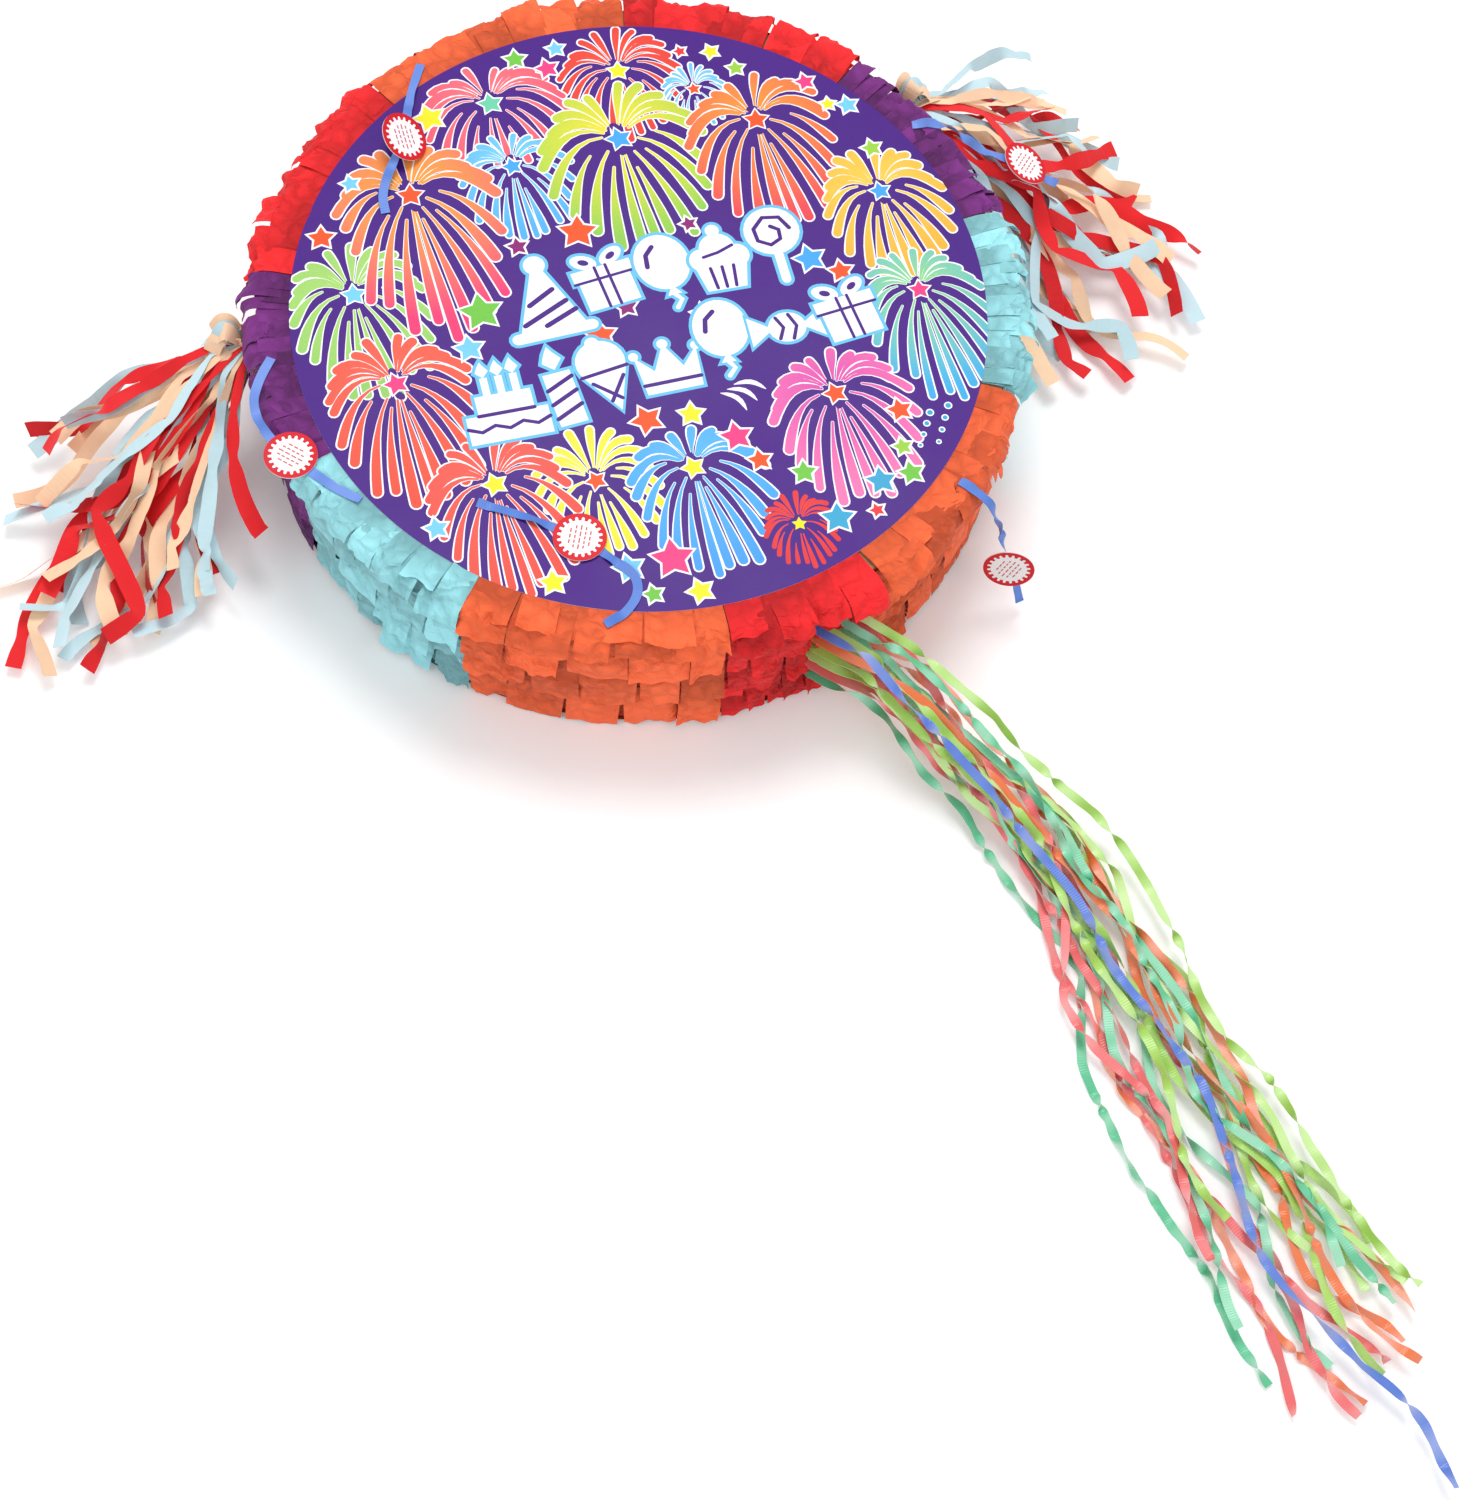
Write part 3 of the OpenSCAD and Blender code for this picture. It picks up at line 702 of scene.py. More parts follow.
# Middle, reach to the side, up and down, rays, ray width, colours and the star in the middle.
FIREWORKS = [
    ((54, 147), 34, 28, 46, 22, 3.2, (240, 84, 62), (226, 66, 58), "yellow"),
    ((-21, 154), 42, 25, 46, 22, 3.2, (244, 124, 130), (238, 96, 116), "mint"),
    ((-27, 110), 32, 21, 50, 22, 2.9, (126, 206, 246), (84, 176, 236), "blue"),
    ((88, 119), 18, 17, 25, 20, 1.7, (140, 214, 248), (108, 196, 244), "orange"),
    ((35, 104), 46, 36, 76, 22, 4.6, (246, 226, 50), (146, 204, 82), "blue"),
    ((111, 86), 42, 30, 76, 22, 4.2, (248, 160, 50), (232, 74, 84), "orange"),
    ((153, 15), 34, 30, 60, 22, 4.2, (252, 206, 84), (248, 180, 62), "blue"),
    ((143, -52), 34, 27, 72, 22, 3.6, (152, 218, 128), (66, 172, 222), "pink"),
    ((-139, 66), 38, 31, 68, 22, 3.8, (172, 216, 116), (150, 206, 104), "sky"),
    ((-86, 114), 44, 36, 94, 22, 4.8, (252, 172, 44), (240, 62, 118), "orange"),
    ((-68, -91), 32, 32, 46, 20, 3.2, (252, 238, 84), (250, 226, 60), "orange"),
    ((-140, 5), 40, 30, 76, 22, 4.3, (238, 104, 84), (232, 86, 66), "pink"),
    ((-117, -72), 38, 28, 70, 22, 4.0, (238, 98, 84), (230, 84, 72), "yellow"),
    ((-18, -104), 36, 24, 66, 22, 3.9, (96, 186, 242), (72, 160, 232), "yellow"),
    ((71, -93), 38, 26, 68, 22, 4.0, (214, 74, 168), (244, 124, 178), "orange")]

# The one without a white edge.
PLAIN_FIREWORK = ((18, -157), 20, 19, 26, 22, 2.3, (232, 72, 64), (222, 56, 58), "yellow")

# Middle, radius and colour of the loose stars.
STARS = [
    (-56, 158, 9.1, "yellow"), (-113, 134, 5.4, "sky"), (-141, 107, 7.5, "orange"),
    (-46, 60, 5.9, "plum"), (-12, 56, 10.8, "orange"), (-81, 29, 11.8, "green"),
    (-96, 10, 8.1, "sky"), (-8, 1, 6.2, "plum"), (-28, -10, 8.4, "orange"),
    (116, 123, 5.2, "lime"), (148, 99, 5.9, "pink"), (153, 80, 4.3, "yellow"),
    (163, 75, 6.2, "sky"), (162, 43, 5.9, "lime"), (46, 37, 4.8, "plum"),
    (97, -10, 8.9, "blue"), (109, -24, 7.0, "orange"), (28, -19, 6.5, "green"),
    (-28, -68, 9.1, "orange"), (-155, -84, 6.5, "sky"), (-113, -137, 7.0, "yellow"),
    (-74, -145, 8.1, "sky"), (-69, -164, 5.4, "green"), (-5, -74, 7.0, "yellow"),
    (11, -96, 8.9, "pink"), (16, -114, 6.5, "orange"), (34, -130, 7.0, "green"),
    (98, -116, 7.0, "orange"), (89, -137, 5.4, "lime"), (86, -153, 7.0, "green"),
    (69, -151, 8.3, "teal"), (38, -162, 9.1, "teal"), (59, -166, 4.3, "red"),
    (-46, -172, 7.0, "yellow"), (-51, -149, 11.8, "pink"), (4, 177, 6.5, "green"),
    (28, 175, 5.4, "sky"), (18, 164, 6.8, "pink"), (92, 146, 3.8, "red"),
    (108, 139, 5.0, "yellow")]

# The ends of each row of small rings, and the place and turn of each sliver.
CHAINS = [((112, -124), (98, -140)), ((123, -124), (108, -142))]
SLIVERS = [(19, -76, 0.5), (25, -74, 0.75), (31, -71, 1.0)]


def rect(x0, y0, x1, y1):
    return [(x0, y0), (x1, y0), (x1, y1), (x0, y1)]


def flame(x, y, h):
    return [(x, y), (x + 0.36 * h, y + 0.4 * h), (x + 0.12 * h, y + 0.75 * h), (x, y + h),
            (x - 0.2 * h, y + 0.7 * h), (x - 0.36 * h, y + 0.35 * h)]


def stripes(lines, width):
    return [capsule(line, width, 3) for line in lines]


def block(half, y0, top_half, y1):
    """A shape with the same half width on both sides, at its foot and at its top."""
    return [(-half, y0), (half, y0), (top_half, y1), (-top_half, y1)]


# Plain party shapes: white parts, then the lines drawn on them. Each is one unit high.
PARTY_SHAPES = {
    "hat": (
        [block(0.36, 0.04, 0.05, 0.84), circle(0, 0.88, 0.11),
         capsule([(-0.38, 0.06), (0.38, 0.06)], 0.12)],
        stripes([[(-0.27, 0.2), (0.2, 0.4)], [(-0.17, 0.42), (0.1, 0.56)],
                 [(-0.06, 0.15), (0.27, 0.28)]], 0.055)),
    "balloon": (
        [circle(0, 0.64, 0.3, 28, 1.2), [(-0.08, 0.2), (0.08, 0.2), (0, 0.32)],
         capsule([(0, 0.2), (0.05, 0.12), (-0.03, 0.03)], 0.05)],
        stripes([[(-0.17, 0.62), (-0.14, 0.77), (-0.04, 0.86)]], 0.055)),
    "gift": (
        [block(0.37, 0, 0.37, 0.5), block(0.43, 0.48, 0.43, 0.68),
         circle(-0.2, 0.8, 0.19, 20, 0.6, -0.5), circle(0.2, 0.8, 0.19, 20, 0.6, 0.5)],
        stripes([[(-0.08, 0), (-0.08, 0.68)], [(0.08, 0), (0.08, 0.68)],
                 [(-0.43, 0.48), (0.43, 0.48)]], 0.045)
        + [circle(-0.2, 0.8, 0.08, 12, 0.6, -0.5), circle(0.2, 0.8, 0.08, 12, 0.6, 0.5)]),
    "cupcake": (
        [block(0.25, 0, 0.34, 0.4), circle(-0.22, 0.48, 0.17), circle(0.22, 0.48, 0.17),
         circle(0, 0.62, 0.23), circle(0, 0.9, 0.09)],
        stripes([[(-0.12, 0.03), (-0.15, 0.34)], [(0, 0.03), (0, 0.34)],
                 [(0.12, 0.03), (0.15, 0.34)], [(-0.2, 0.52), (0.0, 0.56), (0.2, 0.64)]], 0.045)),
    "lolly": (
        [circle(0, 0.68, 0.31), capsule([(0, 0.4), (0, 0.03)], 0.1)],
        stripes([[(0.2, 0.68), (0.12, 0.84), (-0.06, 0.87), (-0.19, 0.74), (-0.18, 0.58),
                  (-0.05, 0.5), (0.07, 0.56), (0.08, 0.68), (0.0, 0.74)]], 0.05)),
    "cake": (
        [block(0.44, 0, 0.44, 0.34), block(0.3, 0.3, 0.3, 0.58), rect(-0.2, 0.55, -0.12, 0.8),
         rect(0.12, 0.55, 0.2, 0.8), block(0.04, 0.55, 0.04, 0.8)]
        + [flame(x, 0.8, 0.2) for x in (-0.16, 0, 0.16)],
        stripes([[(-0.44, 0.2), (-0.3, 0.14), (-0.15, 0.2), (0, 0.14), (0.15, 0.2), (0.3, 0.14),
                  (0.44, 0.2)], [(-0.3, 0.34), (0.3, 0.34)]], 0.045)),
    "candle": (
        [block(0.15, 0, 0.15, 0.66), flame(0, 0.7, 0.3)],
        stripes([[(-0.15, 0.1), (0.15, 0.22)], [(-0.15, 0.28), (0.15, 0.4)],
                 [(-0.15, 0.46), (0.15, 0.58)]], 0.05)),
    "cone": (
        [[(-0.25, 0.52), (0, 0), (0.25, 0.52)], circle(0, 0.66, 0.28), circle(0, 0.92, 0.08)],
        stripes([[(-0.18, 0.42), (0.06, 0.14)], [(0.18, 0.42), (-0.06, 0.14)],
                 [(-0.27, 0.53), (0.27, 0.53)]], 0.045)),
    "crown": (
        [[(-0.46, 0), (0.46, 0), (0.52, 0.74), (0.24, 0.42), (0, 0.9), (-0.24, 0.42),
          (-0.52, 0.74)], circle(0, 0.9, 0.09), circle(0.52, 0.76, 0.08),
         circle(-0.52, 0.76, 0.08)],
        stripes([[(-0.47, 0.18), (0.47, 0.18)]], 0.07)),
    "sweet": (
        [circle(0, 0.5, 0.4, 24, 0.9), [(0.3, 0.5), (0.8, 0.14), (0.8, 0.86)],
         [(-0.3, 0.5), (-0.8, 0.86), (-0.8, 0.14)]],
        stripes([[(-0.2, 0.24), (-0.08, 0.5), (-0.2, 0.76)],
                 [(0.08, 0.2), (0.2, 0.5), (0.08, 0.8)]], 0.08))}

# Shape, middle and height of each in the two rows.
PARTY_ROWS = [
    ("hat", -46, 25, 54), ("gift", -11, 24, 39), ("balloon", 21, 13, 50), ("cupcake", 52, 11, 43),
    ("lolly", 84, 6, 50), ("cake", -92, -26, 50), ("candle", -61, -30, 50),
    ("cone", -36, -33, 48), ("crown", -3, -41, 33), ("balloon", 31, -38, 50),
    ("sweet", 66, -45, 26), ("gift", 101, -46, 39)]


def party_shape(paint, name, x, y, high):
    whites, lines = PARTY_SHAPES[name]
    turn = ART_TURN + rng.uniform(-0.1, 0.1)

    def place(shape):
        return turned((np.asarray(shape, float) - (0, 0.5)) * high, turn) + (x, y)

    for shape in whites:
        paint.add(grow(place(shape), 1.9), CYAN)
    for shape in whites:
        paint.add(place(shape), WHITE)
    for shape in lines:
        paint.add(place(shape), PRINT_PURPLE)


def chain(paint, start, end):
    """A row of small rings below the long rays of one firework."""
    for t in np.linspace(0, 1, 4):
        x, y = np.array(start) * (1 - t) + np.array(end) * t
        paint.add(circle(x, y, 2.3 - 0.7 * t, 12), WHITE)
        paint.add(circle(x, y, 1.6 - 0.7 * t, 10), STAR_COLOURS["teal"])


def sliver(paint, x, y, turn):
    """A slim bent accent."""
    t = np.linspace(0, 1, 7)
    line = np.stack([3.0 * np.sin(math.pi * t), 17 * (t - 0.5)], axis=1)
    paint.add(capsule(turned(line, turn) + (x, y), 0.5 + 2.4 * np.sin(math.pi * t) ** 0.7), WHITE)


def make_print():
    paint = Paint()
    rim = circle(0, 0, PRINT_R, 360)
    paint.add(rim, PRINT_PURPLE)
    for values in FIREWORKS:
        firework(paint, *values)
    firework(paint, *PLAIN_FIREWORK, outlined=False)
    for start, end in CHAINS:
        chain(paint, start, end)
    for x, y, r, colour in STARS:
        small_star(paint, (x, y), r, STAR_COLOURS[colour])
    for values in SLIVERS:
        sliver(paint, *values)
    for values in PARTY_ROWS:
        party_shape(paint, *values)
    piece = card("fireworks_card", paint, rim, CARD_T, (226, 222, 232),
                 lambda p: p + (0, 0, PRINT_Z))
    fasten(piece, "drum", "printed_card", "printed_face")


make_print()

# ---- tissue on the drum

TISSUE_T = 0.16
SLIT_W = 0.5
PLEATS = 3
# About one turn, in radians.
TURN = 6.28
# Mean and spread of each fold's direction: two across a flap and two along it.
FOLD_WAYS = [(0, 0.5), (0, 0.5), (1.57, 0.4), (1.57, 0.6)]
# How far a flap may rise over the print and stand off, beside a tag and elsewhere.
TAG_ROOM, FLAP_ROOM = (0.5, 3.0), (2.8, 12.0)
# Angles where a tag's ribbon or a tassel crosses the rim, so the tissue stays low there.
TAG_ARCS = [(99, 108), (163, 200), (236, 243), (298, 312), (9, 18)]
FRONT_Z = 97.0
BACK_Z = 1.5
BORDER_IN_R = 180.0
HATCH_HALF = 11.0
HATCH_Z0, HATCH_Z1 = 17.0, 83.0
HINGE_CLEAR = 2.3
EDGES = [-78, -39, -6, 29, 68]
ALL_EDGES = EDGES + [180 - angle for angle in reversed(EDGES)]
# Each panel between two of these angles, and the width of its flaps.
PANELS = [("orange_right", 27), ("sky_right", 15), ("purple_right", 13), ("red_right", 27),
          ("orange_top", 27), ("red_left", 27), ("purple_left", 13), ("sky_left", 21),
          ("orange_left", 27)]
# Attached height, length and stand-off of each row of flaps.
WALL_ROWS = [(95.5, 40, 1.6), (67, 38, 1.0), (38, 36, 0.4)]
HATCH_ROWS = [(38, 30, 0.3), (61, 36, 0.6), (82.4, 34, 0.9)]
HINGE_ROWS = [(38, 20, 0.2), (60, 32, 0.4), (82, 30, 0.6)]
# Heights of the layer glued to the wall, and the window in it for a string: angles and heights.
SKIN_Z = (1.5, 96.5)
STRING_HOLE = (88.2, 91.8, 44, 56)
# The lower rows of the top panel leave the hole open between these angles.
HOLE_SIDES = (88, 92)
# Route of the front row: under the print, across the border and over the rim.
FRONT_PATH = np.array([(BORDER_IN_R, 96.95), (188.5, 97.05), (197, 97.7), (200.6, 97.4),
                       (204.3, 96.3), (207.8, 93.4), (210.4, 87.5), (212, 77)])


def wall_path(top, length, stand):
    return np.array([(DRUM_R + 0.8 + 0.5 * stand, top),
                     (DRUM_R + 1.6 + 1.5 * stand, top - 0.5 * length),
                     (DRUM_R + 1.9 + 2 * stand, top - 1.2 * length)])


def flap_height(a, b, s, width, length, lift, crumple, still):
    """How far each point of a flap stands off its route. a is across it, and b and s along it."""
    free = smoothstep(b, 0.05, 0.6) * (0.15 + 0.85 * smoothstep(s, still, still + 10))
    lifts = rng.uniform(0.1, 1, 2) * lift
    h = (lifts[0] + (lifts[1] - lifts[0]) * (a / width + 0.5)) * b ** 1.7
    for lean in [rng.normal(*way) for way in FOLD_WAYS]:
        where = rng.uniform(-0.4, 0.4) * (length if abs(lean) < 0.8 else width)
        fold = np.abs((s - length / 2) * math.cos(lean) + a * math.sin(lean) - where)
        h += rng.choice((-1, 1)) * rng.uniform(0.06, 0.24) * crumple * (fold - fold.mean()) * free
    for _ in range(PLEATS):
        lean, where = rng.normal(0, 0.22), rng.uniform(still + 4, length)
        pleat = s - where + a * math.sin(lean) + 1.2 * np.sin(a * rng.uniform(0.15, 0.35))
        h += rng.uniform(0.5, 1.5) * crumple * np.exp(-np.abs(pleat) / 1.8) * free
    ruffle = 1.3 * np.sin(a * TURN / rng.uniform(13, 22) + rng.uniform(0, 6) + 1.2 * b) \
        + 0.7 * np.sin(a * TURN / rng.uniform(6, 10) + rng.uniform(0, 6))
    h += crumple * ruffle * b ** 2 * smoothstep(s, still, still + 14)
    h += 0.5 * crumple * free * np.sin(s * rng.uniform(0.5, 0.9) + a * 0.25 + rng.uniform(0, 6))
    return h + rng.normal(0, 0.16, h.shape) * crumple * free, free


def flap(parts, path, centre, width, length, lift, crumple, fineness, low, still):
    """One flap. path is its route as radius and height, and still the length that lies flat."""
    cols = max(5, int(width / fineness) + 1)
    rows = max(5, int(length / fineness) + 1)
    a, b = np.meshgrid(np.linspace(-width / 2, width / 2, cols), np.linspace(0, 1, rows))
    loose = (slice(1, -1), slice(1, -1))
    a[loose] += rng.uniform(-0.3, 0.3, a[loose].shape) * width / (cols - 1)
    b[loose] += rng.uniform(-0.3, 0.3, b[loose].shape) / (rows - 1)
    ragged = 1 + 0.03 * np.sin(a * rng.uniform(0.2, 0.5) + rng.uniform(0, 6)) \
        + rng.uniform(-0.09, 0.09) * a / width
    s = b * length * ragged
    h, free = flap_height(a, b, s, width, length, lift, crumple, still)
    by_tag = any(t0 - 6 < centre % 360 < t1 + 6 for t0, t1 in TAG_ARCS)
    room, stand = TAG_ROOM if by_tag else FLAP_ROOM
    h = low + np.where(h > 0, stand * np.tanh(h / stand), 0.5 * np.tanh(h / 0.8) + 0.3 * free)
    h = np.maximum(h, 0.1)
    path_at = along_line(path)

    def on_path(distance, k):
        return np.interp(distance, path_at, path[:, k])

    ahead = unit(np.stack([on_path(s + 1.5, k) - on_path(s - 1.5, k) for k in (0, 1)], axis=2))
    r = on_path(s, 0) - ahead[..., 1] * h
    z = np.maximum(on_path(s, 1) + ahead[..., 0] * h, 0.7)
    z = np.where(z > FRONT_Z, FRONT_Z + room * np.tanh((z - FRONT_Z) / (1.3 * room)), z)
    lean = rng.uniform(-2.0, 2.0) * b
    theta = np.radians(centre) + (a * (1 - 0.05 * b) + lean) / DRUM_R
    # Each flap's tone: random per flap, lighter where it stands off, and painted shade towards its
    # root, under the row above.
    tone = np.clip(0.55 + rng.normal(0, 0.17) + 0.04 * np.abs(h) - 0.45 * (1 - b), 0, 1)
    parts.slab(around(r, theta, z), TISSUE_T, tone)


def flap_row(parts, path, a0, a1, width, length, lift, crumple, fineness=1.9, low=0.3,
             shift=0.0, still=0.0):
    """Flaps side by side from angle a0 to a1, with a narrow slit between them."""
    arc = math.radians(a1 - a0) * DRUM_R
    count = max(1, round(arc / width))
    cuts = np.linspace(0, 1, count + 1)
    if count > 2:
        cuts[1:-1] += shift * (0.4 / count) + rng.uniform(-0.3, 0.3, count - 1) / count
    for c0, c1 in zip(cuts[:-1], cuts[1:]):
        middle = a0 + (a1 - a0) * (c0 + c1) / 2
        flap(parts, path, middle, arc * (c1 - c0) - SLIT_W, length * rng.uniform(0.9, 1.07),
             lift, crumple, fineness, low, still)


def skin(parts, a0, a1, z0, z1, r=DRUM_R + 0.35):
    """A plain layer of tissue glued to the wall."""
    cols, rows = max(2, int((a1 - a0) / 1.5) + 1), max(2, int((z1 - z0) / 8) + 1)
    t, z = np.meshgrid(np.radians(np.linspace(a0, a1, cols)), np.linspace(z1, z0, rows))
    parts.slab(around(r + rng.uniform(-0.1, 0.1, t.shape), t, z), TISSUE_T, 0.3)


def skin_round(parts, a0, a1, z0, z1, window):
    """The plain layer with a window left open in it: angles and heights."""
    w0, w1, h0, h1 = window
    for box in ((a0, a1, h1, z1), (a0, a1, z0, h0), (a0, w0, h0, h1), (w1, a1, h0, h1)):
        if box[1] - box[0] > 0.05 and box[3] - box[2] > 0.5:
            skin(parts, *box)


def border(parts, a0, a1, width, front):
    """The flat row on the front, which folds over the rim, or the one on the back."""
    if front:
        flap_row(parts, FRONT_PATH, a0, a1, width, 38, 6.0, 1.1, low=0.25, still=16)
        flap_row(parts, FRONT_PATH, a0, a1, 0.8 * width, 26, 3.0, 0.9, low=0.7, still=13)
    else:
        path = np.array([(BORDER_IN_R, BACK_Z), (DRUM_R + 2.6, BACK_Z)])
        flap_row(parts, path[::-1], a0, a1, 34, 22, 0.0, 0.0, fineness=8, low=0.1)


def tissue_piece(parts, name, colour):
    """The piece, from its layers, shaded flat. Its two sides follow a rule."""
    piece = parts.piece(name, tissue[colour], smooth=False)
    return piece


def tissue_panel(panel, a0, a1, width):
    parts = Parts()
    top = panel == "orange_top"
    if top:
        skin_round(parts, a0, a1, *SKIN_Z, STRING_HOLE)
    else:
        skin(parts, a0, a1, *SKIN_Z)
    border(parts, a0, a1, width, False)
    for k, (high, length, stand) in reversed(list(enumerate(WALL_ROWS))):
        last = min(length, high - 0.5)
        path = wall_path(high, length, stand)
        lift, crumple = (9.0, 1.0) if width > 20 else (8.0, 0.9)
        if top and k > 0:
            flap_row(parts, path, a0, HOLE_SIDES[0], width, last, lift, crumple)
            flap_row(parts, path, HOLE_SIDES[1], a1, width, last, lift, crumple)
        else:
            flap_row(parts, path, a0, a1, width, last, lift, crumple, shift=k % 2)
    border(parts, a0, a1, width, True)
    piece = tissue_piece(parts, f"tissue_{panel}_flaps", panel.split("_")[0])
    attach(piece, "drum")
    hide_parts("tissue_" + panel)


for (panel, width), a0, a1 in zip(PANELS, ALL_EDGES, ALL_EDGES[1:]):
    tissue_panel(panel, a0, a1, width)


def hatch_rows(parts, a0, a1, width, lift, crumple, rows):
    for high, length, stand in rows:
        flap_row(parts, wall_path(high, length, stand), a0, a1, width, length, lift, crumple)


def bottom_tissue():
    """The red panel with the hatch: what stays on the drum, and what swings with the hatch."""
    a0, a1 = -180 - EDGES[0], EDGES[0]
    h0, h1 = -90 - HATCH_HALF, -90 + HATCH_HALF
    parts = Parts()
    skin_round(parts, a0, a1, *SKIN_Z, (h0, h1, HATCH_Z0, HATCH_Z1))
    border(parts, a0, a1, 28, False)
    flap_row(parts, wall_path(16.4, 15, 0.3), a0, a1, 24, 15, 2.0, 0.5)
    flap_row(parts, wall_path(95.5, 12, 0.9), a0, a1, 24, 11.5, 2.4, 0.8)
    flap_row(parts, FRONT_PATH, a0, a1, 22, 36, 4.5, 1.1, low=0.25, still=16)
    flap_row(parts, FRONT_PATH, a0, a1, 19, 26, 3.0, 1.0, low=0.7, still=13)
    piece = tissue_piece(parts, "tissue_red_bottom_flaps", "red")
    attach(piece, "drum")
    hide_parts("tissue_red_bottom")

    parts = Parts()
    s0, s1 = h0 + HINGE_CLEAR, h1 - 0.15
    skin(parts, s0, s1, HATCH_Z0 + 0.4, HATCH_Z1 - 0.4)
    hatch_rows(parts, s0, s1, 19, 5.0, 1.0, HATCH_ROWS)
    piece = tissue_piece(parts, "hatch_flaps", "red")
    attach(piece, "hatch")
    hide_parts("hatch_tissue")

    parts = Parts()
    g0, g1 = h0 - 0.7, s0 + 0.3
    skin(parts, g0, g1, HATCH_Z0 + 0.5, HATCH_Z1 - 0.5, DRUM_R + 0.6)
    hatch_rows(parts, g0, g1, 14, 1.6, 0.5, HINGE_ROWS)
    piece = tissue_piece(parts, "hinge_tissue", "red")
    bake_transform(piece)


bottom_tissue()

# ---- tassels

TIE_R, TIE_ANGLE, TIE_Z = 211.5, 21.0, 67.0
STRIPS, ALL_STRIPS = 12, 36
STRIP_W, STRIP_T, STRIP_LEN = 9.5, 0.14, 214.0
# First and last direction of each fan, and the share of the longest strip along it.
FANS = {"right": (16, -70), "left": (18, -56)}
REACH = {"right": [[0, 0.45], [0.3, 0.6], [0.55, 0.85], [0.8, 0.88], [1, 0.7]],
         "left": [[0, 0.5], [0.15, 0.6], [0.35, 0.78], [0.55, 0.88], [0.75, 0.7], [1, 0.48]]}
# By distance from the tie: the share of its height that is left, and of a strip's full width.
STRIP_FALL = [[0, 1], [20, 0.99], [40, 0.88], [60, 0.7], [80, 0.5], [100, 0.31], [120, 0.16],
              [140, 0.06], [160, 0]]
STRIP_WIDEN = [[0, 0.3], [20, 0.45], [60, 0.85], [90, 1]]
# No strip comes nearer to the drum's axis than this.
WALL_CLEAR_R = 215.0
WOUND_R, WINDINGS = 5.1, 2.5
# Direction, reach and rise of the short strip ends at the tie.
TIE_ENDS = [(38, 18, 14), (58, 16, 18), (34, 20, 12), (22, 18, 16), (0, 20, 12), (-22, 22, 8),
            (28, 14, 20), (-5, 14, 20)]
TIE = around(TIE_R, math.radians(TIE_ANGLE), TIE_Z)


def strip_route(j, side, rings=90):
    """Distance along strip j from its tie, and its line: out in the fan and down to the floor."""
    layer = (j * 7) % ALL_STRIPS
    share = j / (ALL_STRIPS - 1)
    length = STRIP_LEN * (table(REACH[side], share) + 0.08 * math.sin(math.radians(67 * j)))
    s = np.linspace(4, length, rings)
    first, last = FANS[side]
    turn = (first + (last - first) * share - 14 * (s / STRIP_LEN) ** 2
            + 3 * np.sin(np.radians(2.4 * s + 50 * j)) * np.minimum(s / 100, 1))
    a = np.radians(turn)
    fall = table(STRIP_FALL, s)
    z = (54 + 0.7 * layer) * fall + (0.5 + 0.55 * layer) * (1 - fall)
    return s, np.stack([TIE[0] + s * np.cos(a), TIE[1] + s * np.sin(a), z], axis=1)


def off_the_wall(line):
    """Keeps a strip clear of the drum's tissue."""
    away = np.linalg.norm(line[:, :2], axis=1, keepdims=True)
    line[:, :2] *= np.maximum(1, WALL_CLEAR_R / away)
    return line


def tassel_strips(side, colour, first):
    parts = Parts()
    for j in range(first, ALL_STRIPS, 3):
        s, line = strip_route(j, side)
        free = smoothstep(s, 30, 90)
        along = unit(np.gradient(line, axis=0))
        drift, roll, narrow = folds(s, (16, 42), 0.42, 0.02, turn=0.6, pinch=0.5)
        line[:, :2] += np.stack([-along[:, 1], along[:, 0]], axis=1) * drift[:, None]
        line = off_the_wall(line)
        width = STRIP_W * table(STRIP_WIDEN, s) * narrow * rng.uniform(0.85, 1.12)
        line[:, 2] += small_waves(s, 2.0, (70, 45)) * free
        rest = 0.5 + 0.5 * width * np.abs(np.sin(roll))
        tip = smoothstep(s, s[-1] - 25, s[-1])
        line[:, 2] = np.maximum(line[:, 2], rest) + 3.0 * rng.random() * tip
        grid = ribbon_grid(line, width, roll, cup=rng.uniform(-0.12, 0.12))
        creases = np.zeros(grid.shape[:2])
        across = np.linspace(-0.5, 0.5, grid.shape[1])[None] * STRIP_W
        for _ in range(7):
            fold = np.abs((s - rng.uniform(20, s[-1]))[:, None] + rng.uniform(-1.2, 1.2) * across)
            creases += rng.uniform(-0.8, 1.0) * np.exp(-fold / 4)
        grid[..., 2] = np.maximum(grid[..., 2] + creases * free[:, None], 0.25)
        # Each strip's tone: random per strip, with painted light and shade by how far the strip is
        # rolled.
        tone = 0.45 + rng.normal(0, 0.1) + 0.3 * np.sin(roll + 1.0)
        parts.slab(grid, STRIP_T, np.clip(tone, 0.0, 1)[:, None])
    if side == "left":
        parts.mirror()
    piece = parts.piece(f"strips_{colour}_{side}", crepes[colour])
    fasten(piece, "tassel_" + side, "crepe_" + colour, f"tassel_{colour}_{side}")


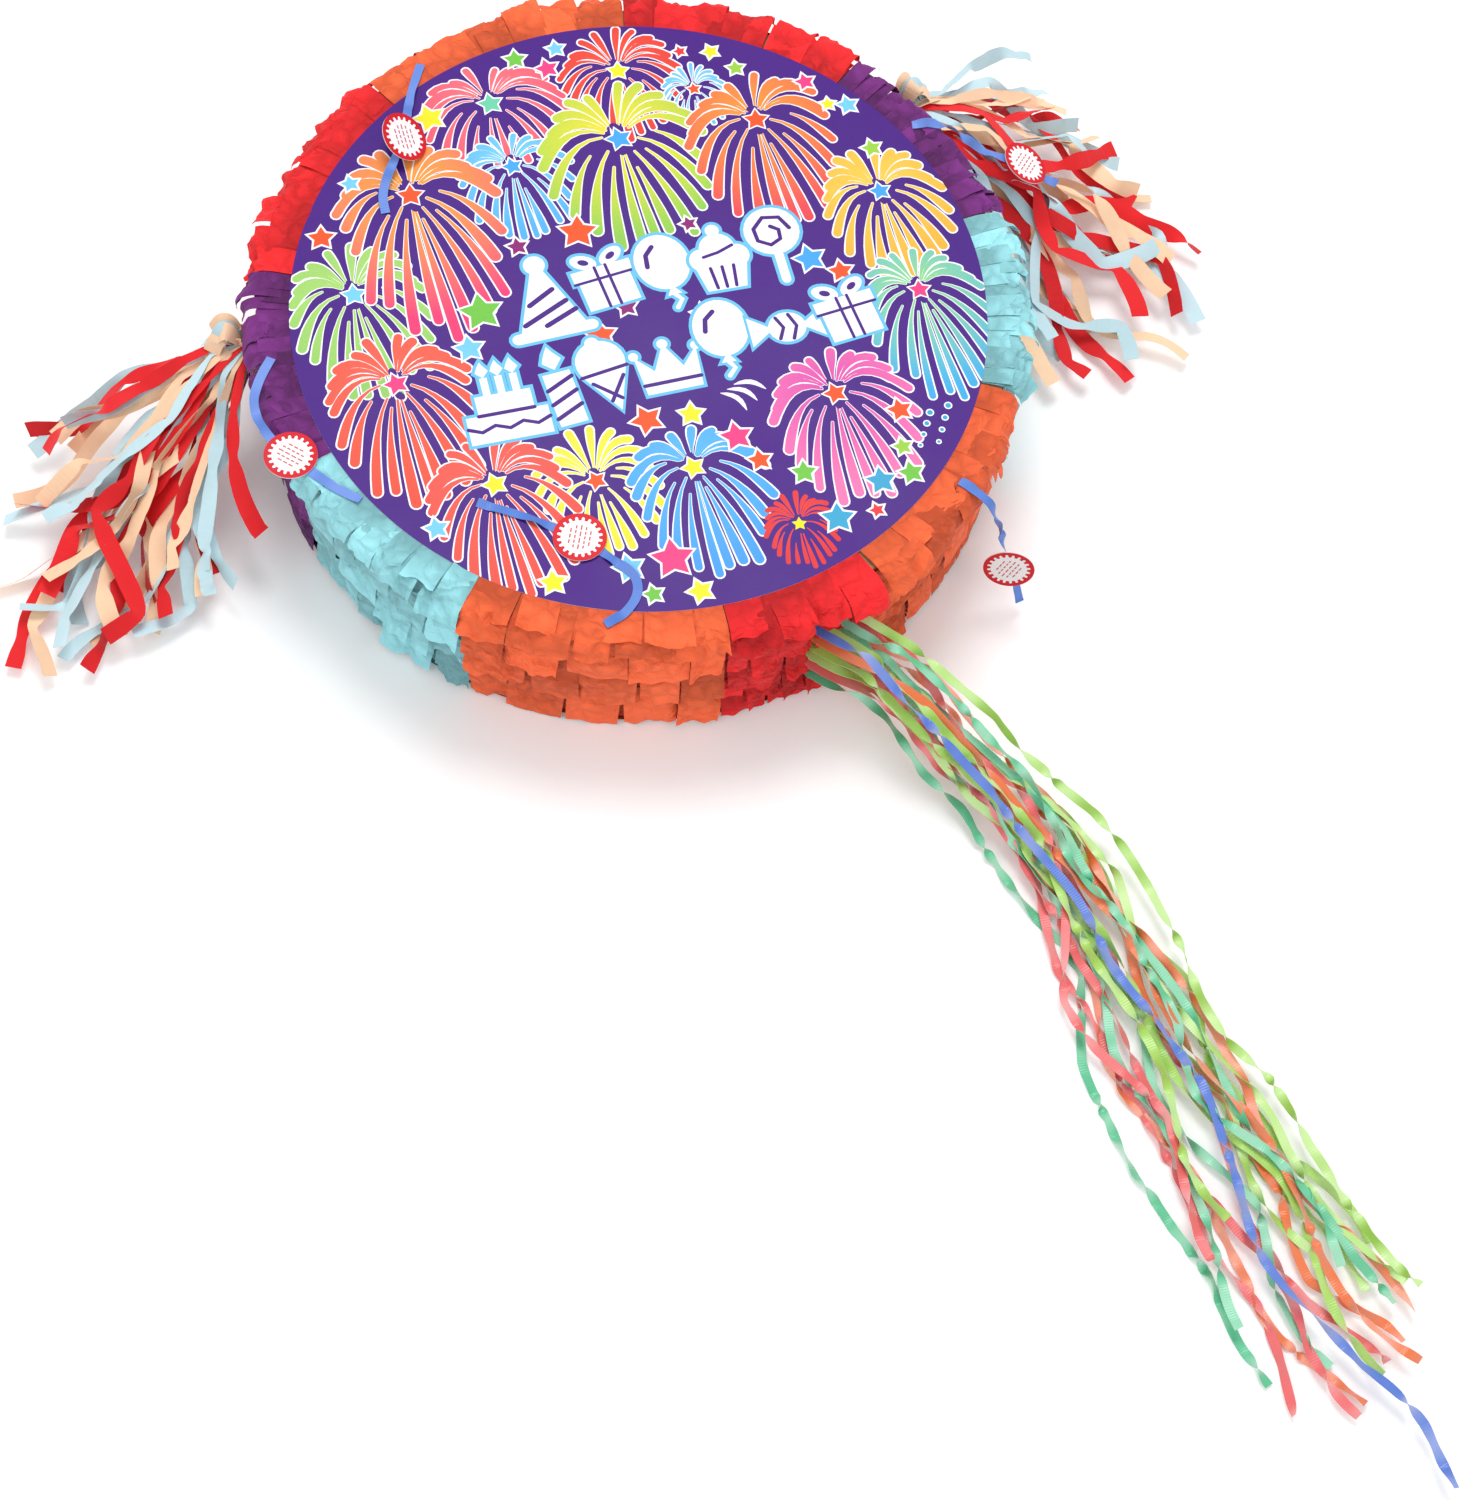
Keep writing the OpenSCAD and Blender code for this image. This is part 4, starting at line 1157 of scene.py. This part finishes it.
def gathered_pleats(parts):
    """The pleated end, drawn in where it is tied, and the strip wound round it both ways."""
    high, turn = np.meshgrid(np.linspace(-16, 15, 41), np.linspace(0, 2 * math.pi, 65),
                             indexing="ij")
    wide = smoothstep(np.abs(high), 4, 15)
    r = (4.0 + 2.0 * wide) * (1 + (0.08 + 0.1 * wide) * np.sin(9 * turn + 0.08 * high)
                              + 0.05 * np.sin(4 * turn + 1.0))
    parts.slab(around(r, turn, high), 0.5, 0.45)
    x = np.linspace(-1.8, 1.8, 3)[None, :, None]
    turns = np.linspace(0, 2 * math.pi * WINDINGS, 90)
    for start, rise in ((0.0, -4.5), (2.4, 4.5)):
        line = around(WOUND_R, turns + start, np.linspace(-rise, rise, 90))
        parts.slab(line[:, None] + np.array([0, 0, 1.0]) * x, 0.3, 0.6)


def tassel_knot(side):
    """The gathered end: pleats drawn in by a wound strip, and short strip ends folded back."""
    pleats, ends = Parts(), Parts()
    gathered_pleats(pleats)
    t = np.linspace(0, 1, 15)
    for k, (heading, reach, rise) in enumerate(TIE_ENDS):
        a = math.radians(heading) + 0.4 * t * math.copysign(1, 12 - heading)
        z = 4 + rise * np.sin(math.pi * np.minimum(t * 0.8, 1)) - 3 * t
        roll = rng.uniform(0.2, 0.9) * rng.choice((-1, 1)) * (1 - 0.5 * t)
        width = STRIP_W * (0.5 + 0.5 * smoothstep(t, 0, 0.5))
        grid = ribbon_grid(around(3 + reach * t, a, z), width, roll, cup=0.1)
        (pleats if k % 2 else ends).slab(grid, STRIP_T, 0.6)
    for parts, colour in ((pleats, "peach"), (ends, "pale")):
        parts.points = [p + TIE for p in parts.points]
        if side == "left":
            parts.mirror()
        piece = parts.piece(f"tie_{colour}_{side}", crepes[colour])
        nodes = ["tassel_knot_" + side] if colour == "peach" else []
        fasten(piece, "tassel_" + side, "crepe_" + colour, *nodes)


for side, order in (("right", ("red", "peach", "pale")), ("left", ("peach", "pale", "red"))):
    for first, colour in enumerate(order):
        tassel_strips(side, colour, first)
    tassel_knot(side)
    repaint("tassel_loop_" + side, string)

# ---- tags

TAG_R, TAG_T, TAG_RISE, TAG_BOW = 14.0, 0.6, 0.25, 0.0016
DASH_RED = (206, 96, 96)
# Half length of each ruled line on a tag, and its number of dashes.
TAG_LINES = ((4.9, 3), (6.9, 5), (7.7, 4), (7.1, 5), (5.0, 3))
OVER_PRINT = 98.4
# For each tag: its ribbon's route, the point of it that the tag lies on, the tag's roll about it
# and the turn of its print. A point with no height lies at OVER_PRINT.
TAG_PLAN = [
    ([(-46, 194), (-60, 175, 99.5), (-77, 146, 105), (-98, 122, 101), (-103, 108)], 2, -35, 0.6),
    ([(-194, 46), (-206, 34), (-213, 22), (-214, 6), (-207, -14), (-195, -38), (-184, -53)],
     4, 0, 0.2),
    ([(-99, -170), (-87, -168), (-77, -161), (-74, -151), (-80, -137), (-90, -119), (-112, -95),
      (-130, -79)], 5, 0, 1.9),
    ([(107, -168), (112, -177, 97.8), (117, -184, 93), (122, -187, 78), (126, -189, 62),
      (130, -191, 48), (133, -195, 35), (136, -201, 21), (137, -208, 9)], 6, 63, 2.4),
    ([(190, 48), (203, 43, 97.9), (213, 39, 91), (227, 31, 78), (240, 25, 71), (252, 19, 65),
      (268, 5, 54.5)], 5, -8, 1.2)]


def smooth_route(p, steps=10):
    """A Catmull-Rom curve through the points."""
    out = []
    for i in range(len(p) - 1):
        a, b, c, d = p[max(i - 1, 0)], p[i], p[i + 1], p[min(i + 2, len(p) - 1)]
        for t in np.arange(steps) / steps:
            out.append(0.5 * (2 * b + (c - a) * t + (2 * a - 5 * b + 4 * c - d) * t ** 2
                              + (3 * b - a - 3 * c + d) * t ** 3))
    return np.array(out + [p[-1]])


def tag_paint():
    """A red ring with white pips round a white middle, which has ruled dashes on it."""
    paint = Paint()
    paint.add(circle(0, 0, TAG_R, 72), TAG_RED)
    paint.add(circle(0, 0, TAG_R - 4.1, 60), WHITE)
    for a in 2 * math.pi * np.arange(20) / 20:
        paint.add(capsule([(r * math.cos(a), r * math.sin(a)) for r in (9.3, 11.1)], 1.6, 3), WHITE)
    for k, (half, dashes) in enumerate(TAG_LINES):
        y = 5.2 - 2.6 * k
        cuts = np.linspace(-half, half, dashes + 1)
        for x0, x1 in zip(cuts[:-1], cuts[1:]):
            paint.add(rect(x0 + 0.45, y - 0.4, x1 - 0.45, y + 0.4), DASH_RED)
    return paint


tag_art = tag_paint()


def tag(k):
    route, at, tilt, spin = TAG_PLAN[k]
    points = np.array([(*p, OVER_PRINT)[:3] for p in route], float)
    ahead = points[at + 1] - points[at - 1]
    level = np.linalg.norm(ahead[:2])
    lift = (RIBBON_T / 2 + TAG_RISE + 5 * abs(ahead[2]) / np.linalg.norm(ahead) * TAG_RISE
            + RIBBON_W / 2 * abs(math.sin(math.radians(tilt))))
    turn = np.array(Matrix.Rotation(math.atan2(ahead[1], ahead[0]), 3, "Z")
                    @ Matrix.Rotation(-math.atan2(ahead[2], level), 3, "Y")
                    @ Matrix.Rotation(math.radians(tilt), 3, "X"))

    def place(p):
        p = p.copy()
        p[:, 2] += TAG_BOW * (p[:, 0] * 0.8 + p[:, 1] * 0.6) ** 2
        p[:, :2] = turned(p[:, :2], spin)
        return (p + (0, 0, lift)) @ turn.T + points[at]

    disc = card(f"round_tag_{k + 1}", tag_art, circle(0, 0, TAG_R, 72), TAG_T,
                (238, 234, 232), place)
    body = f"tag_body_{k + 1}"
    fasten(disc, body, "tag_card", f"tag_{k + 1}")
    line = resample(smooth_route(points), 60)
    s = along_line(line)
    near = np.linalg.norm(line - points[at], axis=1)
    roll = smoothstep(near, TAG_R, TAG_R + 12) * small_waves(s, 0.7, (48, 31))
    roll[s < 8] *= s[s < 8] / 8
    line[:, 2] += 0.5 * RIBBON_W * np.abs(np.sin(roll)) * smoothstep(near, TAG_R, TAG_R + 8)
    roll += 0.7 * math.radians(tilt) * (1 - smoothstep(near, 0.4 * TAG_R, 1.6 * TAG_R))
    ribbon = satin_ribbon(f"tag_satin_{k + 1}", line, roll, 0.02, "tag")
    fasten(ribbon, body, "ribbon_blue", f"tag_ribbon_{k + 1}")


for number in range(len(TAG_PLAN)):
    tag(number)

# ---- knots inside the hatch


def hatch_knots():
    """Each ribbon ends in a small overhand knot behind its slit."""
    t = np.linspace(0, 2 * math.pi, 49)
    line = np.stack([np.sin(t) + 2 * np.sin(2 * t), np.cos(t) - 2 * np.cos(2 * t),
                     -np.sin(3 * t)], axis=1) * 0.62
    side = unit(np.cross(unit(np.gradient(line, axis=0)), line + (0, 0, 0.01)))
    x = np.linspace(-1.1, 1.1, 3)[None, :, None]
    knot = line[:, None] * (1, 0.8, 1) + side[:, None] * x
    for colour in ("mint", "coral", "lime", "orange", "blue"):
        parts = Parts()
        for i in [i for i, plan in enumerate(RIBBON_PLAN) if plan[4] == colour]:
            depth = 3.1 - math.sqrt(WALL_IN_R ** 2 - slit_x(i) ** 2)
            parts.slab(knot + (slit_x(i), depth, slit_z(i)), RIBBON_T)
        piece = parts.piece("knots_" + colour, satins[colour])
        nodes = ["hatch_knots"] if colour == "mint" else []
        fasten(piece, "hatch", "ribbon_" + colour, *nodes)


hatch_knots()

# ---- carried-over parts

for node in ("back_board", "side_wall", "front_board", "hatch_flap"):
    repaint(node, cardboard)
repaint("back_cover", white_sheet)

# ---- floor and light

FLOOR_HALF = 6000.0
WORLD_STRENGTH = 0.72
# Name, place in metres, size in metres and power of each soft light, and where they all point.
LIGHTS = [("key", (0.5, 0.9, 2.6), 1.3, 36.0), ("fill", (-1.8, -0.6, 2.0), 1.8, 9.0),
          ("front", (0.6, -2.2, 2.0), 1.6, 6.0)]
LIGHT_TO = Vector((0.0, -0.15, 0.0))


def floor_material():
    n = Nodes("pale_floor")
    colour = n.mix((0.93, 0.93, 0.94), (0.96, 0.96, 0.965), n.noise(n.place, 3, detail=3))
    return n.finish(colour, 0.9, Specular_IOR_Level=0.1, Emission_Color=(1, 1, 1),
                    Emission_Strength=0.1)


def add_floor():
    x = np.linspace(-FLOOR_HALF, FLOOR_HALF, 9)
    grid = np.stack(np.meshgrid(x, x), axis=2)
    points = np.concatenate([grid.reshape(-1, 2), np.zeros((81, 1))], axis=1)
    i = np.arange(81).reshape(9, 9)
    faces = quads(i[:-1, :-1], i[:-1, 1:], i[1:, 1:], i[1:, :-1])
    mesh_object("floor", points, faces, floor_material())


def area_light(name, at, size, power):
    data = bpy.data.lights.new(name, "AREA")
    data.shape = "DISK"
    data.size = size
    data.energy = power
    light = bpy.data.objects.new(name, data)
    bpy.context.scene.collection.objects.link(light)
    light.location = at
    light.rotation_euler = (Vector(at) - LIGHT_TO).to_track_quat("Z", "Y").to_euler()


def add_light():
    world = bpy.data.worlds.new("studio")
    bpy.context.scene.world = world
    world.use_nodes = True
    back = world.node_tree.nodes["Background"]
    back.inputs["Color"].default_value = (1.0, 1.0, 1.0, 1)
    back.inputs["Strength"].default_value = WORLD_STRENGTH
    for name, at, size, power in LIGHTS:
        area_light(name, at, size, power)


add_floor()
add_light()
bpy.context.scene.view_settings.view_transform = "Standard"

bpy.context.view_layer.update()
